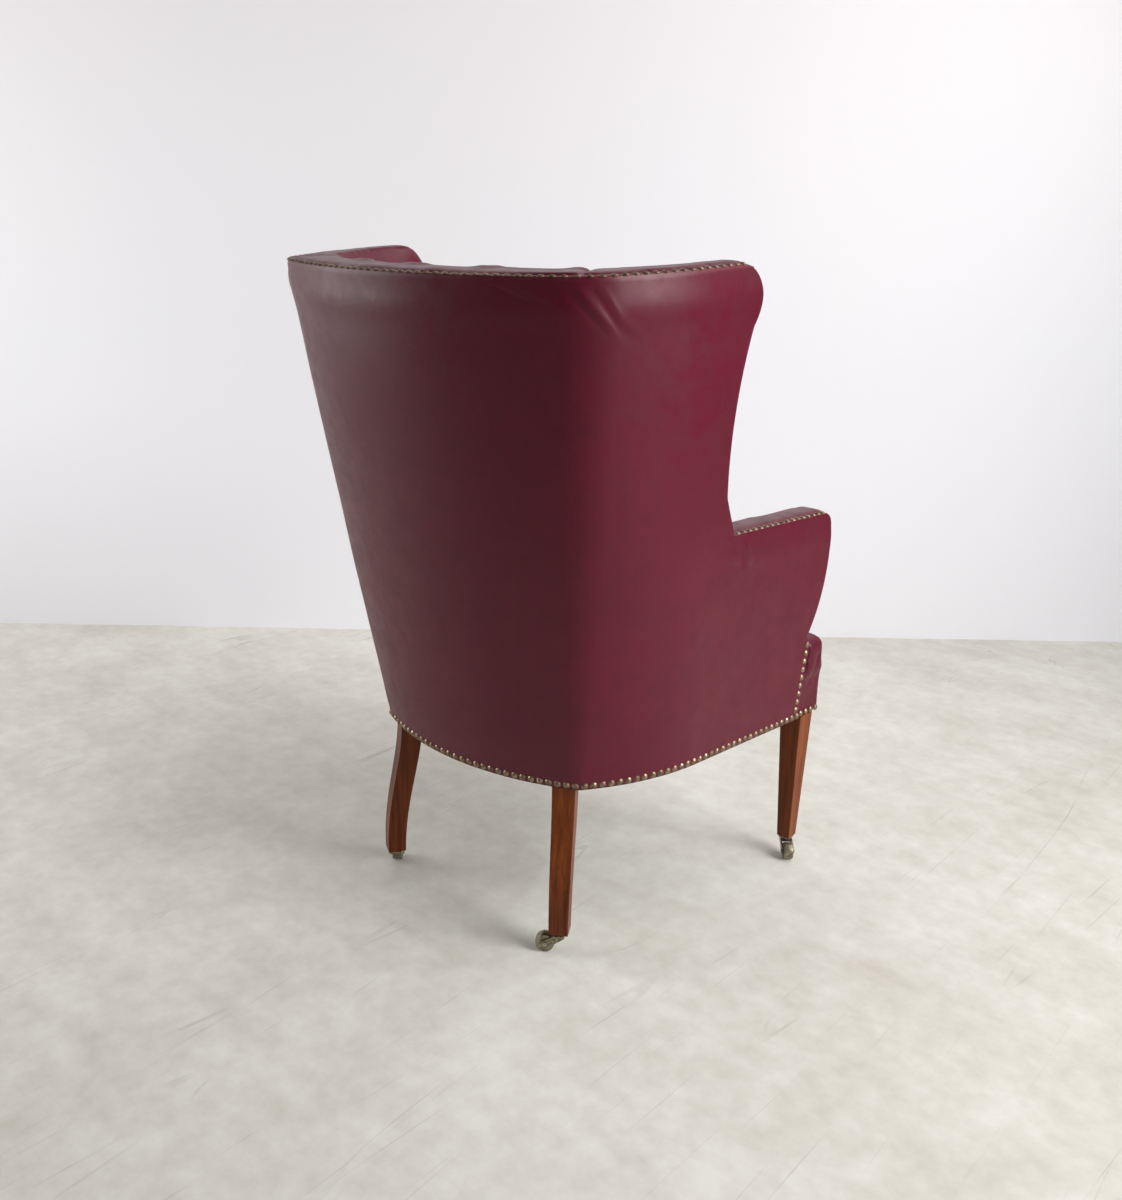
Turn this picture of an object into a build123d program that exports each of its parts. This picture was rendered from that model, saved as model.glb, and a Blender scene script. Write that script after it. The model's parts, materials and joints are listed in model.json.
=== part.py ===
# Hall porter chair: barrel backed wing armchair in nailed leather, on four brass casters
from build123d import *
import os
from bisect import bisect_left
from math import atan2, ceil, cos, hypot, radians, sin, tan

os.makedirs("parts", exist_ok=True)

# Heights above the floor
caster_height = 36.0
cover_bottom = 293.0
rail_bottom = 297.0
rail_top = 367.0
arm_level = 690.0
crest_level = 1120.0
rim_height = 1081.0

# Plan of the outside leather at three heights, walked from the back centre to the front
low_back = 237.0
low_back_radius = 488.0
low_back_turn = 26.0
low_corner_radius = 35.0
low_corner_turn = 28.0
low_side_radius = 414.0
low_side_turn = 30.0
arm_back = 307.0
arm_back_radius = 615.0
arm_back_turn = 23.0
arm_corner_radius = 100.0
arm_corner_turn = 37.0
arm_side_radius = 370.0
arm_side_turn = 28.5
crest_back = 377.0
crest_back_radius = 750.0
crest_back_turn = 22.0
crest_corner_radius = 107.0
crest_corner_turn = 47.0
crest_side_radius = 514.0
crest_side_turn = 18.0

# Plan of the room inside the stuffing at the same heights
room_low_back = 163.0
room_low_back_radius = 420.0
room_low_back_turn = 24.0
room_low_corner_radius = 90.0
room_low_corner_turn = 44.0
room_low_side_radius = 420.0
room_low_side_turn = 20.0
room_arm_back = 222.0
room_arm_back_radius = 500.0
room_arm_back_turn = 23.0
room_arm_corner_radius = 100.0
room_arm_corner_turn = 43.0
room_arm_side_radius = 400.0
room_arm_side_turn = 22.5
room_crest_back = 302.0
room_crest_back_radius = 620.0
room_crest_back_turn = 22.0
room_crest_corner_radius = 110.0
room_crest_corner_turn = 45.0
room_crest_side_radius = 460.0
room_crest_side_turn = 20.0

# Side outline of wings and arms, as depth from the origin (front is minus) and height
rim_slope = 2.86
wing_front = -14.0
wing_front_height = 1012.0
wing_corner_radius = 44.0
wing_waist = 1.0
wing_waist_height = 850.0
wing_root = -9.0
wing_root_height = 753.0
arm_root = -44.0
arm_root_height = 688.0
arm_tip = -346.0
arm_tip_height = 676.0
arm_tip_radius = 26.0
arm_front = -353.0
arm_front_height = 590.0
arm_throat = -311.0
arm_throat_height = 452.0
skirt_top = -321.0
skirt_top_height = 424.0
skirt_foot = -303.0
seat_front = 368.0

# Layers, counted inwards from the outside leather
leather = 2.0
soft_gap = 0.3
lining = 2.0
timber = 24.0
wrap = 6.0
flange = 14.0
room_gap = 0.5

# Frame timbers
strip = 42.0
tack_rail_bottom = 392.0
tack_rail_top = 422.0
post_size = 38.0
post_turn = 31.0
post_foot = (184.5, 171.5)
post_knee = (193.0, 178.5)
post_arm = (249.1, 219.8)
post_crest = (296.0, 266.8)
post_crest_height = 1072.0

# Legs
front_leg_place = (313.0, -334.0)
front_leg_top = 42.0
front_leg_foot = 25.0
foot_chamfer = 2.0
rear_leg_foot = 32.0
rear_splay = 32.0
sabre_heights_share = (0.0, 0.2, 0.44, 0.74, 1.0)
sabre_splay_share = (1.0, 0.93, 0.66, 0.2, 0.0)

# Seat
seat_bottom = 368.7
seat_crown = 452.0
crown_place = -80.0
seat_back_height = 437.0
nose_height = 422.0
nose_bend = (-364.5, 437.5)
roll_crest = (-343.0, 444.5)
belly_share = 0.75
roll_bulge = 3.0
roll_step = 340.0
roll_bottom = 372.3
roll_half = 339.0
shoulder_foot = 420.0
shoulder_bend = (332.0, 436.0)
shoulder_top = (316.0, 442.0)
shoulder_middle = 450.5
across_crown = 453.0
border_top = 372.0
spring_top = 398.0
webbing_width = 48.0
webbing_thick = 1.5
web_gap = 0.1
web_long_pitch = 62.0
web_cross_pitch = 85.0
web_cross_count = 5
web_front = -255.0
spring_radius = 36.0
spring_waist = 24.0
spring_wire = 3.4
half_turns = 9
mound_half_width = 190.0
mound_front = -318.0
mound_back = 150.0
mound_taper = 16.0
mound_corner = 30.0
cloth_low = 293.2
cloth_thick = 0.5
block_size = 84.0
block_low = 302.0
block_high = 352.0
canvas = 1.2

# Nails
nail_radius = 5.8
nail_rise = 3.0
nail_shank = 0.9
nail_length = 13.0
nail_pitch = 14.9
nail_lift = 6.5
rim_nail_inset = 7.0
rim_nail_pitch = 16.0
skirt_nail_inset = 7.0
skirt_nail_count = 9
skirt_nail_low = 313.0
skirt_nail_high = 434.0

# Buttons in the inside back
button_radius = 9.0
button_edge = 1.5
button_dome = 3.0
button_seat = 1.2
button_shank = 1.5
button_shank_length = 14.0
button_depth = 12.0
dimple_radius = 42.0
pleat_radius = 5.0
fan_centre = -60.0
fan_turn = 20.5
rim_reach = 25.0
button_row_pitch = 118.0
button_first_height = 575.0
button_rows = 4

# Casters
caster_plate_size = 22.0
caster_plate_thick = 2.0
boss_height = 3.1
boss_low_radius = 6.5
bridge_front = 9.0
trail_front_right = 130.5
trail_front_left = 75.0
trail_rear_right = 40.5
trail_rear_left = -49.5
caster_trail = 24.0
wheel_radius = 16.0
wheel_width = 17.0
wheel_crown = 1.0
axle_radius = 2.4
running_gap = 0.05
pintle_radius = 2.5
boss_radius = 7.5
hub_radius = 8.0
hub_thick = 4.0
hub_gap = 0.3
cheek = 2.0
cheek_gap = 0.5
cheek_radius = 7.5
cheek_lean = 60.0
rivet_radius = 4.0
rivet_thick = 1.6
axle_head = 1.5
axle_head_radius = 3.6
screw_radius = 1.3
screw_head = 2.5
screw_head_depth = 1.4
screw_length = 14.0
screw_spread = 7.5

# Seams, borders and small joints
seam_apex = -268.0
seam_angle = 27.7
pad_rise = 5.0
seam_gap = 0.3
border_back = -285.0
stump_width = 12.0
stump_depth = 28.0
arm_post_back_top = -292.0
arm_post_back_foot = -258.0

# Working allowances
overrun = 60.0
span = 460.0
joint_gap = 0.2
trace_step = 1.0

frame_inset = leather + soft_gap + lining + soft_gap
pad_inset = frame_inset + timber + soft_gap
front_line = -(seat_front + overrun)
arm_slope_share = (arm_root_height - arm_tip_height) / (arm_root - arm_tip - arm_tip_radius)


def level(height, back, back_radius, back_turn, corner_radius, corner_turn, side_radius, side_turn):
    """One plan line: its height, the depth of the back centre and its three bends."""
    return height, back, ((back_radius, back_turn), (corner_radius, corner_turn), (side_radius, side_turn))


outside = [
    level(cover_bottom, low_back, low_back_radius, low_back_turn, low_corner_radius, low_corner_turn,
          low_side_radius, low_side_turn),
    level(arm_level, arm_back, arm_back_radius, arm_back_turn, arm_corner_radius, arm_corner_turn,
          arm_side_radius, arm_side_turn),
    level(crest_level, crest_back, crest_back_radius, crest_back_turn, crest_corner_radius,
          crest_corner_turn, crest_side_radius, crest_side_turn),
]
room = [
    level(cover_bottom, room_low_back, room_low_back_radius, room_low_back_turn, room_low_corner_radius,
          room_low_corner_turn, room_low_side_radius, room_low_side_turn),
    level(arm_level, room_arm_back, room_arm_back_radius, room_arm_back_turn, room_arm_corner_radius,
          room_arm_corner_turn, room_arm_side_radius, room_arm_side_turn),
    level(crest_level, room_crest_back, room_crest_back_radius, room_crest_back_turn,
          room_crest_corner_radius, room_crest_corner_turn, room_crest_side_radius, room_crest_side_turn),
]


def walk(plan, inset, front=front_line):
    """Arcs of one half of a plan line, from the back centre round to the front, and its end."""
    height, back, bends = plan
    x, y, heading = 0.0, back - inset, 0.0
    arcs = []
    for radius, turn in bends:
        r = radius - inset
        centre_x = x + r * sin(radians(heading))
        centre_y = y - r * cos(radians(heading))
        angles = [radians(heading + turn * part) for part in (0, 0.5, 1)]
        arcs.append([(centre_x - r * sin(a), centre_y + r * cos(a)) for a in angles])
        heading += turn
        x, y = arcs[-1][2]
    run = (y - front) / sin(radians(heading))
    return arcs, (x - run * cos(radians(heading)), front)


def half_line(plan, inset, front=front_line):
    """Draws one half of a plan line and gives its front end."""
    arcs, tip = walk(plan, inset, front)
    for start, middle, end in arcs:
        ThreePointArc(start, middle, end)
    Line(arcs[-1][2], tip)
    return tip


def band(outer_inset, inner_plans, inner_inset):
    """Sections of the wall between the outside line and an inner one, one for each height."""
    sections = []
    for outer, inner in zip(outside, inner_plans):
        with BuildSketch(Plane.XY.offset(outer[0])) as section:
            with BuildLine():
                near_end = half_line(outer, outer_inset)
                far_end = half_line(inner, inner_inset)
                Line(near_end, far_end)
                mirror(about=Plane.YZ)
            make_face()
        sections.append(section.sketch)
    return sections


def filled(plans, inset, front=front_line, height=None):
    """Sections of everything inside a plan line, closed across the front."""
    sections = []
    for plan in plans:
        with BuildSketch(Plane.XY.offset(plan[0] if height is None else height)) as section:
            with BuildLine():
                tip = half_line(plan, inset, front)
                Line(tip, (0, tip[1]))
                mirror(about=Plane.YZ)
            make_face()
        sections.append(section.sketch)
    return sections


def rim_at(y):
    """Height of the sloping rim at depth y."""
    return rim_height + (crest_back - y) * tan(radians(rim_slope))


def arm_top_at(y):
    """Height of the arm's top line at depth y."""
    return arm_root_height + (y - arm_root) * arm_slope_share


def side_outline(inset=0.0, lift=0.0):
    """Side view of the covered shell with an open foot, drawn in by an inset and lifted on top."""
    back_end = crest_back + overrun
    top = lift - inset
    wing_radius = wing_corner_radius - inset
    tip_radius = arm_tip_radius - inset
    wing_edge = wing_front + inset
    tip_edge = arm_tip + inset
    wing_top = (wing_edge + wing_radius, rim_at(wing_edge + wing_radius) + top)
    wing_bend = wing_radius * (1 - cos(radians(45)))
    tip_bend = tip_radius * (1 - cos(radians(45)))
    tip_height = arm_tip_height + top
    with BuildSketch(Plane.YZ) as outline:
        with BuildLine():
            Polyline((skirt_foot + inset, cover_bottom), (skirt_foot + inset, cover_bottom - overrun),
                     (back_end, cover_bottom - overrun), (back_end, rim_at(back_end) + top), wing_top)
            ThreePointArc(wing_top, (wing_edge + wing_bend, rim_at(wing_edge) + top - wing_bend),
                          (wing_edge, wing_front_height))
            ThreePointArc((wing_edge, wing_front_height), (wing_waist + inset, wing_waist_height),
                          (wing_root + inset, wing_root_height))
            Polyline((wing_root + inset, wing_root_height), (arm_root + inset, arm_root_height + top),
                     (tip_edge + tip_radius, tip_height))
            ThreePointArc((tip_edge + tip_radius, tip_height), (tip_edge + tip_bend, tip_height - tip_bend),
                          (tip_edge, tip_height - tip_radius))
            ThreePointArc((tip_edge, tip_height - tip_radius), (arm_front + inset, arm_front_height),
                          (arm_throat + inset, arm_throat_height))
            Polyline((arm_throat + inset, arm_throat_height), (skirt_top + inset, skirt_top_height),
                     (skirt_foot + inset, cover_bottom))
        make_face()
    return outline.sketch


def under_tops(drop):
    """Side view of all that lies below the rim and the arm tops, lowered by a drop."""
    back_end = crest_back + overrun
    front_end = arm_tip - overrun
    with BuildSketch(Plane.YZ) as below:
        with BuildLine():
            Polyline((front_end, cover_bottom - overrun), (back_end, cover_bottom - overrun),
                     (back_end, rim_at(back_end) - drop), (arm_root, rim_at(arm_root) - drop),
                     (arm_root, arm_root_height - drop), (front_end, arm_top_at(front_end) - drop),
                     (front_end, cover_bottom - overrun))
        make_face()
    return below.sketch


def slab(z_low, z_high, y_low=-span, y_high=span):
    """A plain block right across the chair between two heights and two depths."""
    block = Box(2 * span, y_high - y_low, z_high - z_low, mode=Mode.PRIVATE)
    return Pos(0, (y_low + y_high) / 2, (z_low + z_high) / 2) * block


def keep(part, label):
    """Names a finished piece and writes its file."""
    part.label = label
    export_step(part, f"parts/{label}.step")


def crossing(outline, mode):
    """Carries a side view right across the chair, to cut or to keep what it covers."""
    extrude(outline, amount=span, both=True, mode=mode)


def wedge(gap):
    """Plan of the back between the two corner seams, drawn in by a gap."""
    apex = seam_apex + gap / sin(radians(seam_angle))
    half_width = (span - apex) * tan(radians(seam_angle))
    with BuildSketch(Plane.XY.offset(cover_bottom - overrun)) as plan:
        with BuildLine():
            Polyline((0, apex), (-half_width, span), (half_width, span), (0, apex))
        make_face()
    return plan.sketch


# Outside leather: one skin round back, wings and arms, folded in along every nailed top edge
with BuildPart() as outside_cover:
    loft(sections=band(0.0, outside, flange))
    crossing(under_tops(leather), Mode.SUBTRACT)
    loft(sections=band(0.0, outside, leather))
    crossing(side_outline(), Mode.INTERSECT)
keep(outside_cover.part, "outside_cover")

# Lining: wadding and hessian between the leather and the frame
with BuildPart() as outside_lining:
    loft(sections=band(leather + soft_gap, outside, leather + soft_gap + lining))
    crossing(side_outline(inset=wrap), Mode.INTERSECT)
    border_side = slab(cover_bottom - overrun, border_top + soft_gap, -span, border_back + soft_gap)
    add(border_side, mode=Mode.SUBTRACT)
keep(outside_lining.part, "outside_lining")


# Rear legs: square, bowed out like a sabre below the rail, stub inside the rails
def turned_square(side, centre, height, size, reach=0.0):
    """Section of a post turned to face its corner; a reach lengthens it inwards and outwards."""
    with BuildSketch(Plane((side * centre[0], centre[1], height))) as section:
        Rectangle(size, size + 2 * reach, rotation=-side * post_turn)
    return section.sketch


def post_centre(height):
    """Centre of the rear post at a height, on straight runs between its named places."""
    stations = [(cover_bottom, post_foot), (rail_top, post_knee), (arm_level, post_arm),
                (post_crest_height, post_crest)]
    for (z0, p0), (z1, p1) in zip(stations, stations[1:]):
        if height <= z1:
            break
    part = (height - z0) / (z1 - z0)
    return p0[0] + (p1[0] - p0[0]) * part, p0[1] + (p1[1] - p0[1]) * part


sides = {"right": -1, "left": 1}
slot_heights = (cover_bottom - overrun, rail_top, arm_level, crest_level + overrun)
with BuildPart() as post_slots:
    for side in sides.values():
        loft(sections=[turned_square(side, post_centre(z), z, post_size, overrun) for z in slot_heights],
             ruled=True)

rear_legs = {}
for name, side in sides.items():
    with BuildPart() as rear_leg:
        sections = []
        for height_share, splay_share in zip(sabre_heights_share, sabre_splay_share):
            height = caster_height + (cover_bottom - caster_height) * height_share
            out = rear_splay * splay_share
            centre = (post_foot[0] + out * sin(radians(post_turn)),
                      post_foot[1] + out * cos(radians(post_turn)))
            size = rear_leg_foot + (post_size - rear_leg_foot) * height_share
            sections.append(turned_square(side, centre, height, size))
        loft(sections=sections)
        loft(sections=[turned_square(side, post_centre(z), z, post_size) for z in (cover_bottom, rail_top)],
             ruled=True)
    rear_legs[name] = rear_leg.part
    keep(rear_leg.part, f"rear_leg_{name}")

# Rear posts: stand on the legs and lean out and back to the crest
rear_posts = {}
for name, side in sides.items():
    with BuildPart() as rear_post:
        heights = (rail_top, arm_level, post_crest_height)
        loft(sections=[turned_square(side, post_centre(z), z, post_size) for z in heights], ruled=True)
    rear_posts[name] = rear_post.part
    keep(rear_post.part, f"rear_post_{name}")

# Space of the leather border round the heads of the front legs
with BuildPart() as border_space:
    loft(sections=band(0.0, outside, frame_inset))
    add(slab(cover_bottom - soft_gap, border_top), mode=Mode.INTERSECT)

# Front legs: square taper with a chamfered foot, rebated behind the border, and a stump behind the rails
rail_front = seat_front - leather - soft_gap
rail_back = rail_front - timber
front_legs = {}
for name, side in sides.items():
    x, y = side * front_leg_place[0], front_leg_place[1]
    inner = abs(x) - front_leg_top / 2
    with BuildPart() as front_leg:
        with BuildSketch(Plane((x, y, caster_height))):
            Rectangle(front_leg_foot, front_leg_foot)
        with BuildSketch(Plane((x, y, rail_bottom))):
            Rectangle(front_leg_top, front_leg_top)
        loft()
        chamfer(front_leg.edges().group_by(Axis.Z)[0], foot_chamfer)
        stump_place = (side * (inner + stump_width / 2), -rail_back + stump_depth / 2, rail_bottom)
        with BuildSketch(Plane(stump_place)):
            Rectangle(stump_width, stump_depth)
        extrude(amount=rail_top - rail_bottom)
        add(border_space.part, mode=Mode.SUBTRACT)
    front_legs[name] = front_leg.part
    keep(front_leg.part, f"front_leg_{name}")

# Timber wall that every curved rail and upright of the frame is cut from
with BuildPart() as wall:
    loft(sections=band(frame_inset, outside, frame_inset + timber))
    add(post_slots.part, mode=Mode.SUBTRACT)
with BuildPart() as shaped_wall:
    add(wall.part)
    crossing(side_outline(inset=wrap), Mode.INTERSECT)

# Seat rails: curved side and back rails between the posts, straight front rail across their ends
with BuildPart() as seat_ring:
    add(wall.part)
    add(slab(rail_bottom, rail_top, -rail_back, span), mode=Mode.INTERSECT)
rail_names = ("right", "back", "left")
for name, piece in zip(rail_names, seat_ring.part.solids().sort_by(Axis.X)):
    with BuildPart() as seat_rail:
        add(piece)
    keep(seat_rail.part, f"seat_rail_{name}")
with BuildPart() as seat_rail_front:
    loft(sections=filled(outside, frame_inset, -rail_front))
    add(slab(rail_bottom, rail_top, -rail_front, -rail_back), mode=Mode.INTERSECT)
keep(seat_rail_front.part, "seat_rail_front")

# Arm posts: sawn to the arm's front curve, standing on the side rails
def arm_post_side():
    """Side view of the timber kept for an arm post."""
    with BuildSketch(Plane.YZ) as shape:
        with BuildLine():
            Polyline((arm_front - overrun, rail_top), (arm_post_back_foot, rail_top),
                     (arm_post_back_top, arm_root_height), (arm_front - overrun, arm_root_height),
                     (arm_front - overrun, rail_top))
        make_face()
    return shape.sketch


with BuildPart() as arm_posts:
    add(shaped_wall.part)
    crossing(arm_post_side(), Mode.INTERSECT)
for name, piece in zip(("right", "left"), arm_posts.part.solids().sort_by(Axis.X)):
    with BuildPart() as arm_post:
        add(piece)
    keep(arm_post.part, f"arm_post_{name}")

# Tacking rails: thin rails above the seat that the inside covers are pulled round
with BuildPart() as tack_ring:
    add(shaped_wall.part)
    add(slab(tack_rail_bottom, tack_rail_top), mode=Mode.INTERSECT)
    crossing(arm_post_side(), Mode.SUBTRACT)
for name, piece in zip(rail_names, tack_ring.part.solids().sort_by(Axis.X)):
    with BuildPart() as tack_rail:
        add(piece)
    keep(tack_rail.part, f"tacking_rail_{name}")


# Arm rails: under the arm tops, from the arm posts back to the rear posts
def arm_rail_side():
    """Side view of the timber kept for an arm rail."""
    front_end, back_end = arm_tip - overrun, crest_back + overrun
    with BuildSketch(Plane.YZ) as shape:
        with BuildLine():
            Polyline((front_end, arm_top_at(front_end) - wrap - strip),
                     (back_end, arm_top_at(back_end) - wrap - strip), (back_end, arm_top_at(back_end) - wrap),
                     (front_end, arm_top_at(front_end) - wrap),
                     (front_end, arm_top_at(front_end) - wrap - strip))
        make_face()
    return shape.sketch


with BuildPart() as arm_ring:
    add(shaped_wall.part)
    crossing(arm_rail_side(), Mode.INTERSECT)
    crossing(arm_post_side(), Mode.SUBTRACT)
arm_pieces = arm_ring.part.solids().sort_by(Axis.X)
for name, piece in (("right", arm_pieces[0]), ("left", arm_pieces[-1])):
    with BuildPart() as arm_rail:
        add(piece)
    keep(arm_rail.part, f"arm_rail_{name}")

# Crest rail across the back and wing rails along the wings, under the nailed rim
with BuildPart() as crest_ring:
    add(shaped_wall.part)
    crossing(under_tops(wrap + strip), Mode.SUBTRACT)
    add(slab(wing_waist_height, crest_level), mode=Mode.INTERSECT)
for name, piece in zip(("wing_rail_right", "crest_rail", "wing_rail_left"),
                       crest_ring.part.solids().sort_by(Axis.X)):
    with BuildPart() as crest_piece:
        add(piece)
    keep(crest_piece.part, name)


# Wing posts: up from the arm rails to the wing rails, sawn to the wing's front curve
def wing_post_side():
    """Side view of the timber kept for a wing post."""
    front_end = wing_front - overrun
    foot_back = wing_root + wrap + strip
    head_back = wing_front + wrap + strip
    with BuildSketch(Plane.YZ) as shape:
        with BuildLine():
            Polyline((front_end, arm_top_at(front_end) - wrap), (foot_back, arm_top_at(foot_back) - wrap),
                     (head_back, rim_at(head_back) - wrap - strip),
                     (front_end, rim_at(front_end) - wrap - strip),
                     (front_end, arm_top_at(front_end) - wrap))
        make_face()
    return shape.sketch


with BuildPart() as wing_posts:
    add(shaped_wall.part)
    crossing(wing_post_side(), Mode.INTERSECT)
for name, piece in zip(("right", "left"), wing_posts.part.solids().sort_by(Axis.X)):
    with BuildPart() as wing_post:
        add(piece)
    keep(wing_post.part, f"wing_post_{name}")

# Stuffed inside: room the frame and the nailed ledge take out of the padding
with BuildPart() as frame_space:
    loft(sections=band(leather, outside, pad_inset))
    crossing(side_outline(inset=wrap), Mode.INTERSECT)
with BuildPart() as ledge:
    loft(sections=band(0.0, outside, flange + soft_gap))
    crossing(under_tops(leather + soft_gap), Mode.SUBTRACT)
with BuildPart() as padding:
    loft(sections=band(leather + soft_gap, room, 0.0))
    crossing(side_outline(inset=leather, lift=leather + pad_rise), Mode.INTERSECT)
    add(frame_space.part, mode=Mode.SUBTRACT)
    add(ledge.part, mode=Mode.SUBTRACT)
    add(slab(cover_bottom - overrun, roll_bottom), mode=Mode.SUBTRACT)
    for side in sides.values():
        heights = (rail_top, arm_level, post_crest_height + soft_gap)
        loft(sections=[turned_square(side, post_centre(z), z, post_size + 2 * soft_gap) for z in heights],
             ruled=True, mode=Mode.SUBTRACT)

# Inside arms and wings, one each side of the corner seams
with BuildPart() as side_pads:
    add(padding.part)
    extrude(wedge(-seam_gap / 2), amount=crest_level, mode=Mode.SUBTRACT)
seam_height = arm_root_height + pad_rise + seam_gap
for label, low, high in (("arm", cover_bottom, seam_height), ("wing", seam_height + seam_gap, crest_level)):
    with BuildPart() as pair:
        add(side_pads.part)
        add(slab(low, high), mode=Mode.INTERSECT)
    for name, piece in zip(("right", "left"), pair.part.solids().sort_by(Axis.X)):
        with BuildPart() as inside_pad:
            add(piece)
        keep(inside_pad.part, f"inside_{label}_{name}")

# Inside back: buttoned, with pleats from the top buttons up to the rim
with BuildPart() as plain_back:
    add(padding.part)
    extrude(wedge(seam_gap / 2), amount=crest_level, mode=Mode.INTERSECT)


def on_back(turn, height):
    """Place on the face of the inside back, and the way into it, at a turn from the middle."""
    into = Vector(sin(radians(turn)), cos(radians(turn)), 0)
    start = Vector(0, fan_centre, height)
    hits = plain_back.part.find_intersection_points(Axis(start, into))
    face = min((point for point, normal in hits), key=lambda point: (point - start).length)
    return face, into


def button_turns(row):
    """Turns of the buttons in a row, staggered from row to row."""
    if row % 2 == 0:
        return [fan_turn * step for step in (-1.5, -0.5, 0.5, 1.5)]
    return [fan_turn * step for step in (-2, -1, 0, 1, 2)]


rows = [[on_back(turn, button_first_height + button_row_pitch * row) for turn in button_turns(row)]
        for row in range(button_rows)]
pleats = [(place, on_back(turn, rim_height - rim_reach)[0])
          for turn, (place, into) in zip(button_turns(button_rows - 1), rows[-1])]
with BuildPart() as inside_back:
    add(plain_back.part)
    for place, into in [button for row in rows for button in row]:
        with Locations(Plane(origin=place - into * (dimple_radius - button_depth))):
            Sphere(dimple_radius, mode=Mode.SUBTRACT)
    for start, end in pleats:
        with Locations(Plane(origin=(start + end) / 2, z_dir=end - start)):
            Cylinder(pleat_radius, (end - start).length, mode=Mode.SUBTRACT)
keep(inside_back.part, "inside_back")


def dome_middle(radius, rise, foot=0.0):
    """Point halfway up the round of a dome with a given base radius and rise."""
    ball = (radius ** 2 + rise ** 2) / (2 * rise)
    half_turn = atan2(radius, ball - rise) / 2
    return ball * sin(half_turn), foot + rise - ball + ball * cos(half_turn)


# Buttons sit in the dimples on shanks that reach into the stuffing
with BuildPart() as button:
    with BuildSketch(Plane.XZ):
        with BuildLine():
            edge = (button_radius, button_edge)
            Polyline((0, -button_shank_length), (button_shank, -button_shank_length), (button_shank, 0),
                     (button_radius, 0), edge)
            ThreePointArc(edge, dome_middle(button_radius, button_dome, button_edge),
                          (0, button_edge + button_dome))
            Line((0, button_edge + button_dome), (0, -button_shank_length))
        make_face()
    revolve(axis=Axis.Z)
with BuildPart() as back_buttons:
    for place, into in [button_place for row in rows for button_place in row]:
        with Locations(Plane(origin=place + into * (button_depth - button_seat), z_dir=-into)):
            add(button.part)
keep(back_buttons.part, "back_buttons")


# Tight seat with a crown and a roll over the front, reaching out in front of the arms
def seat_side():
    """Side view of the seat, stepped underneath where the front border stands up to it."""
    back_reach = room_low_back + overrun
    with BuildSketch(Plane.YZ) as shape:
        with BuildLine():
            Polyline((back_reach, seat_back_height), (back_reach, seat_bottom), (-roll_step, seat_bottom),
                     (-roll_step, roll_bottom), (-seat_front, roll_bottom))
            ThreePointArc((-seat_front, roll_bottom), (-seat_front - roll_bulge * belly_share,
                          (roll_bottom + nose_height) / 2), (-seat_front - roll_bulge, nose_height))
            ThreePointArc((-seat_front - roll_bulge, nose_height), nose_bend, roll_crest)
            ThreePointArc(roll_crest, (crown_place, seat_crown), (back_reach, seat_back_height))
        make_face()
    return shape.sketch


def seat_across():
    """Front view of the seat: rounded shoulders and a low crown."""
    with BuildSketch(Plane.XZ) as shape:
        with BuildLine():
            Line((0, seat_bottom), (roll_half, seat_bottom))
            Line((roll_half, seat_bottom), (roll_half, shoulder_foot))
            ThreePointArc((roll_half, shoulder_foot), shoulder_bend, shoulder_top)
            ThreePointArc(shoulder_top, (shoulder_top[0] / 2, shoulder_middle), (0, across_crown))
            mirror(about=Plane.YZ)
        make_face()
    return shape.sketch


def mound(inset):
    """Sections of the raised middle of the spring canvas, drawn in by an inset."""
    sections = []
    for height, half_width, front_y, back_y in mound_levels:
        drop = inset if height > rail_top else -inset
        with BuildSketch(Plane((0, (front_y + back_y) / 2, height - drop))) as section:
            RectangleRounded(2 * (half_width - inset), back_y - front_y - 2 * inset, mound_corner)
        sections.append(section.sketch)
    return sections


canvas_low = rail_top + joint_gap
canvas_high = canvas_low + canvas
mound_base = canvas_low - canvas
mound_levels = (
    (mound_base, mound_half_width, mound_front, mound_back),
    (spring_top, mound_half_width - mound_taper, mound_front + mound_taper, mound_back - mound_taper),
)
with BuildPart() as seat_pad:
    add(slab(roll_bottom, shoulder_top[1] + overrun, -seat_front - overrun, skirt_foot + wrap))
    roll_room = Pos(0, 0, rail_top) * Box(2 * roll_half, 2 * span, 2 * rail_top, mode=Mode.PRIVATE)
    add(roll_room, mode=Mode.INTERSECT)
    crossing(side_outline(inset=-room_gap), Mode.SUBTRACT)
    loft(sections=filled(room, room_gap))
    crossing(seat_side(), Mode.INTERSECT)
    crossing(seat_across(), Mode.INTERSECT)
    loft(sections=mound(-soft_gap), ruled=True, mode=Mode.SUBTRACT)
keep(seat_pad.part, "seat_pad")

# Front border: seat leather below the roll, returned a little way under the arms
with BuildPart() as front_border:
    loft(sections=filled(outside, leather + soft_gap, -seat_front))
    loft(sections=filled(outside, 2 * leather + soft_gap, leather - seat_front), mode=Mode.SUBTRACT)
    add(slab(cover_bottom, border_top, -span, border_back), mode=Mode.INTERSECT)
keep(front_border.part, "front_border")

# Spring canvas: nailed flat on the rails, raised over the springs
with BuildPart() as spring_canvas:
    loft(sections=filled(outside, frame_inset + timber / 2, -(rail_front + rail_back) / 2))
    add(slab(canvas_low, canvas_high), mode=Mode.INTERSECT)
    loft(sections=mound(0.0), ruled=True)
    loft(sections=mound(canvas), ruled=True, mode=Mode.SUBTRACT)
    add(slab(rail_bottom, canvas_low), mode=Mode.SUBTRACT)
    add(post_slots.part, mode=Mode.SUBTRACT)
    add(arm_posts.part, mode=Mode.SUBTRACT)
keep(spring_canvas.part, "spring_canvas")

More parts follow.
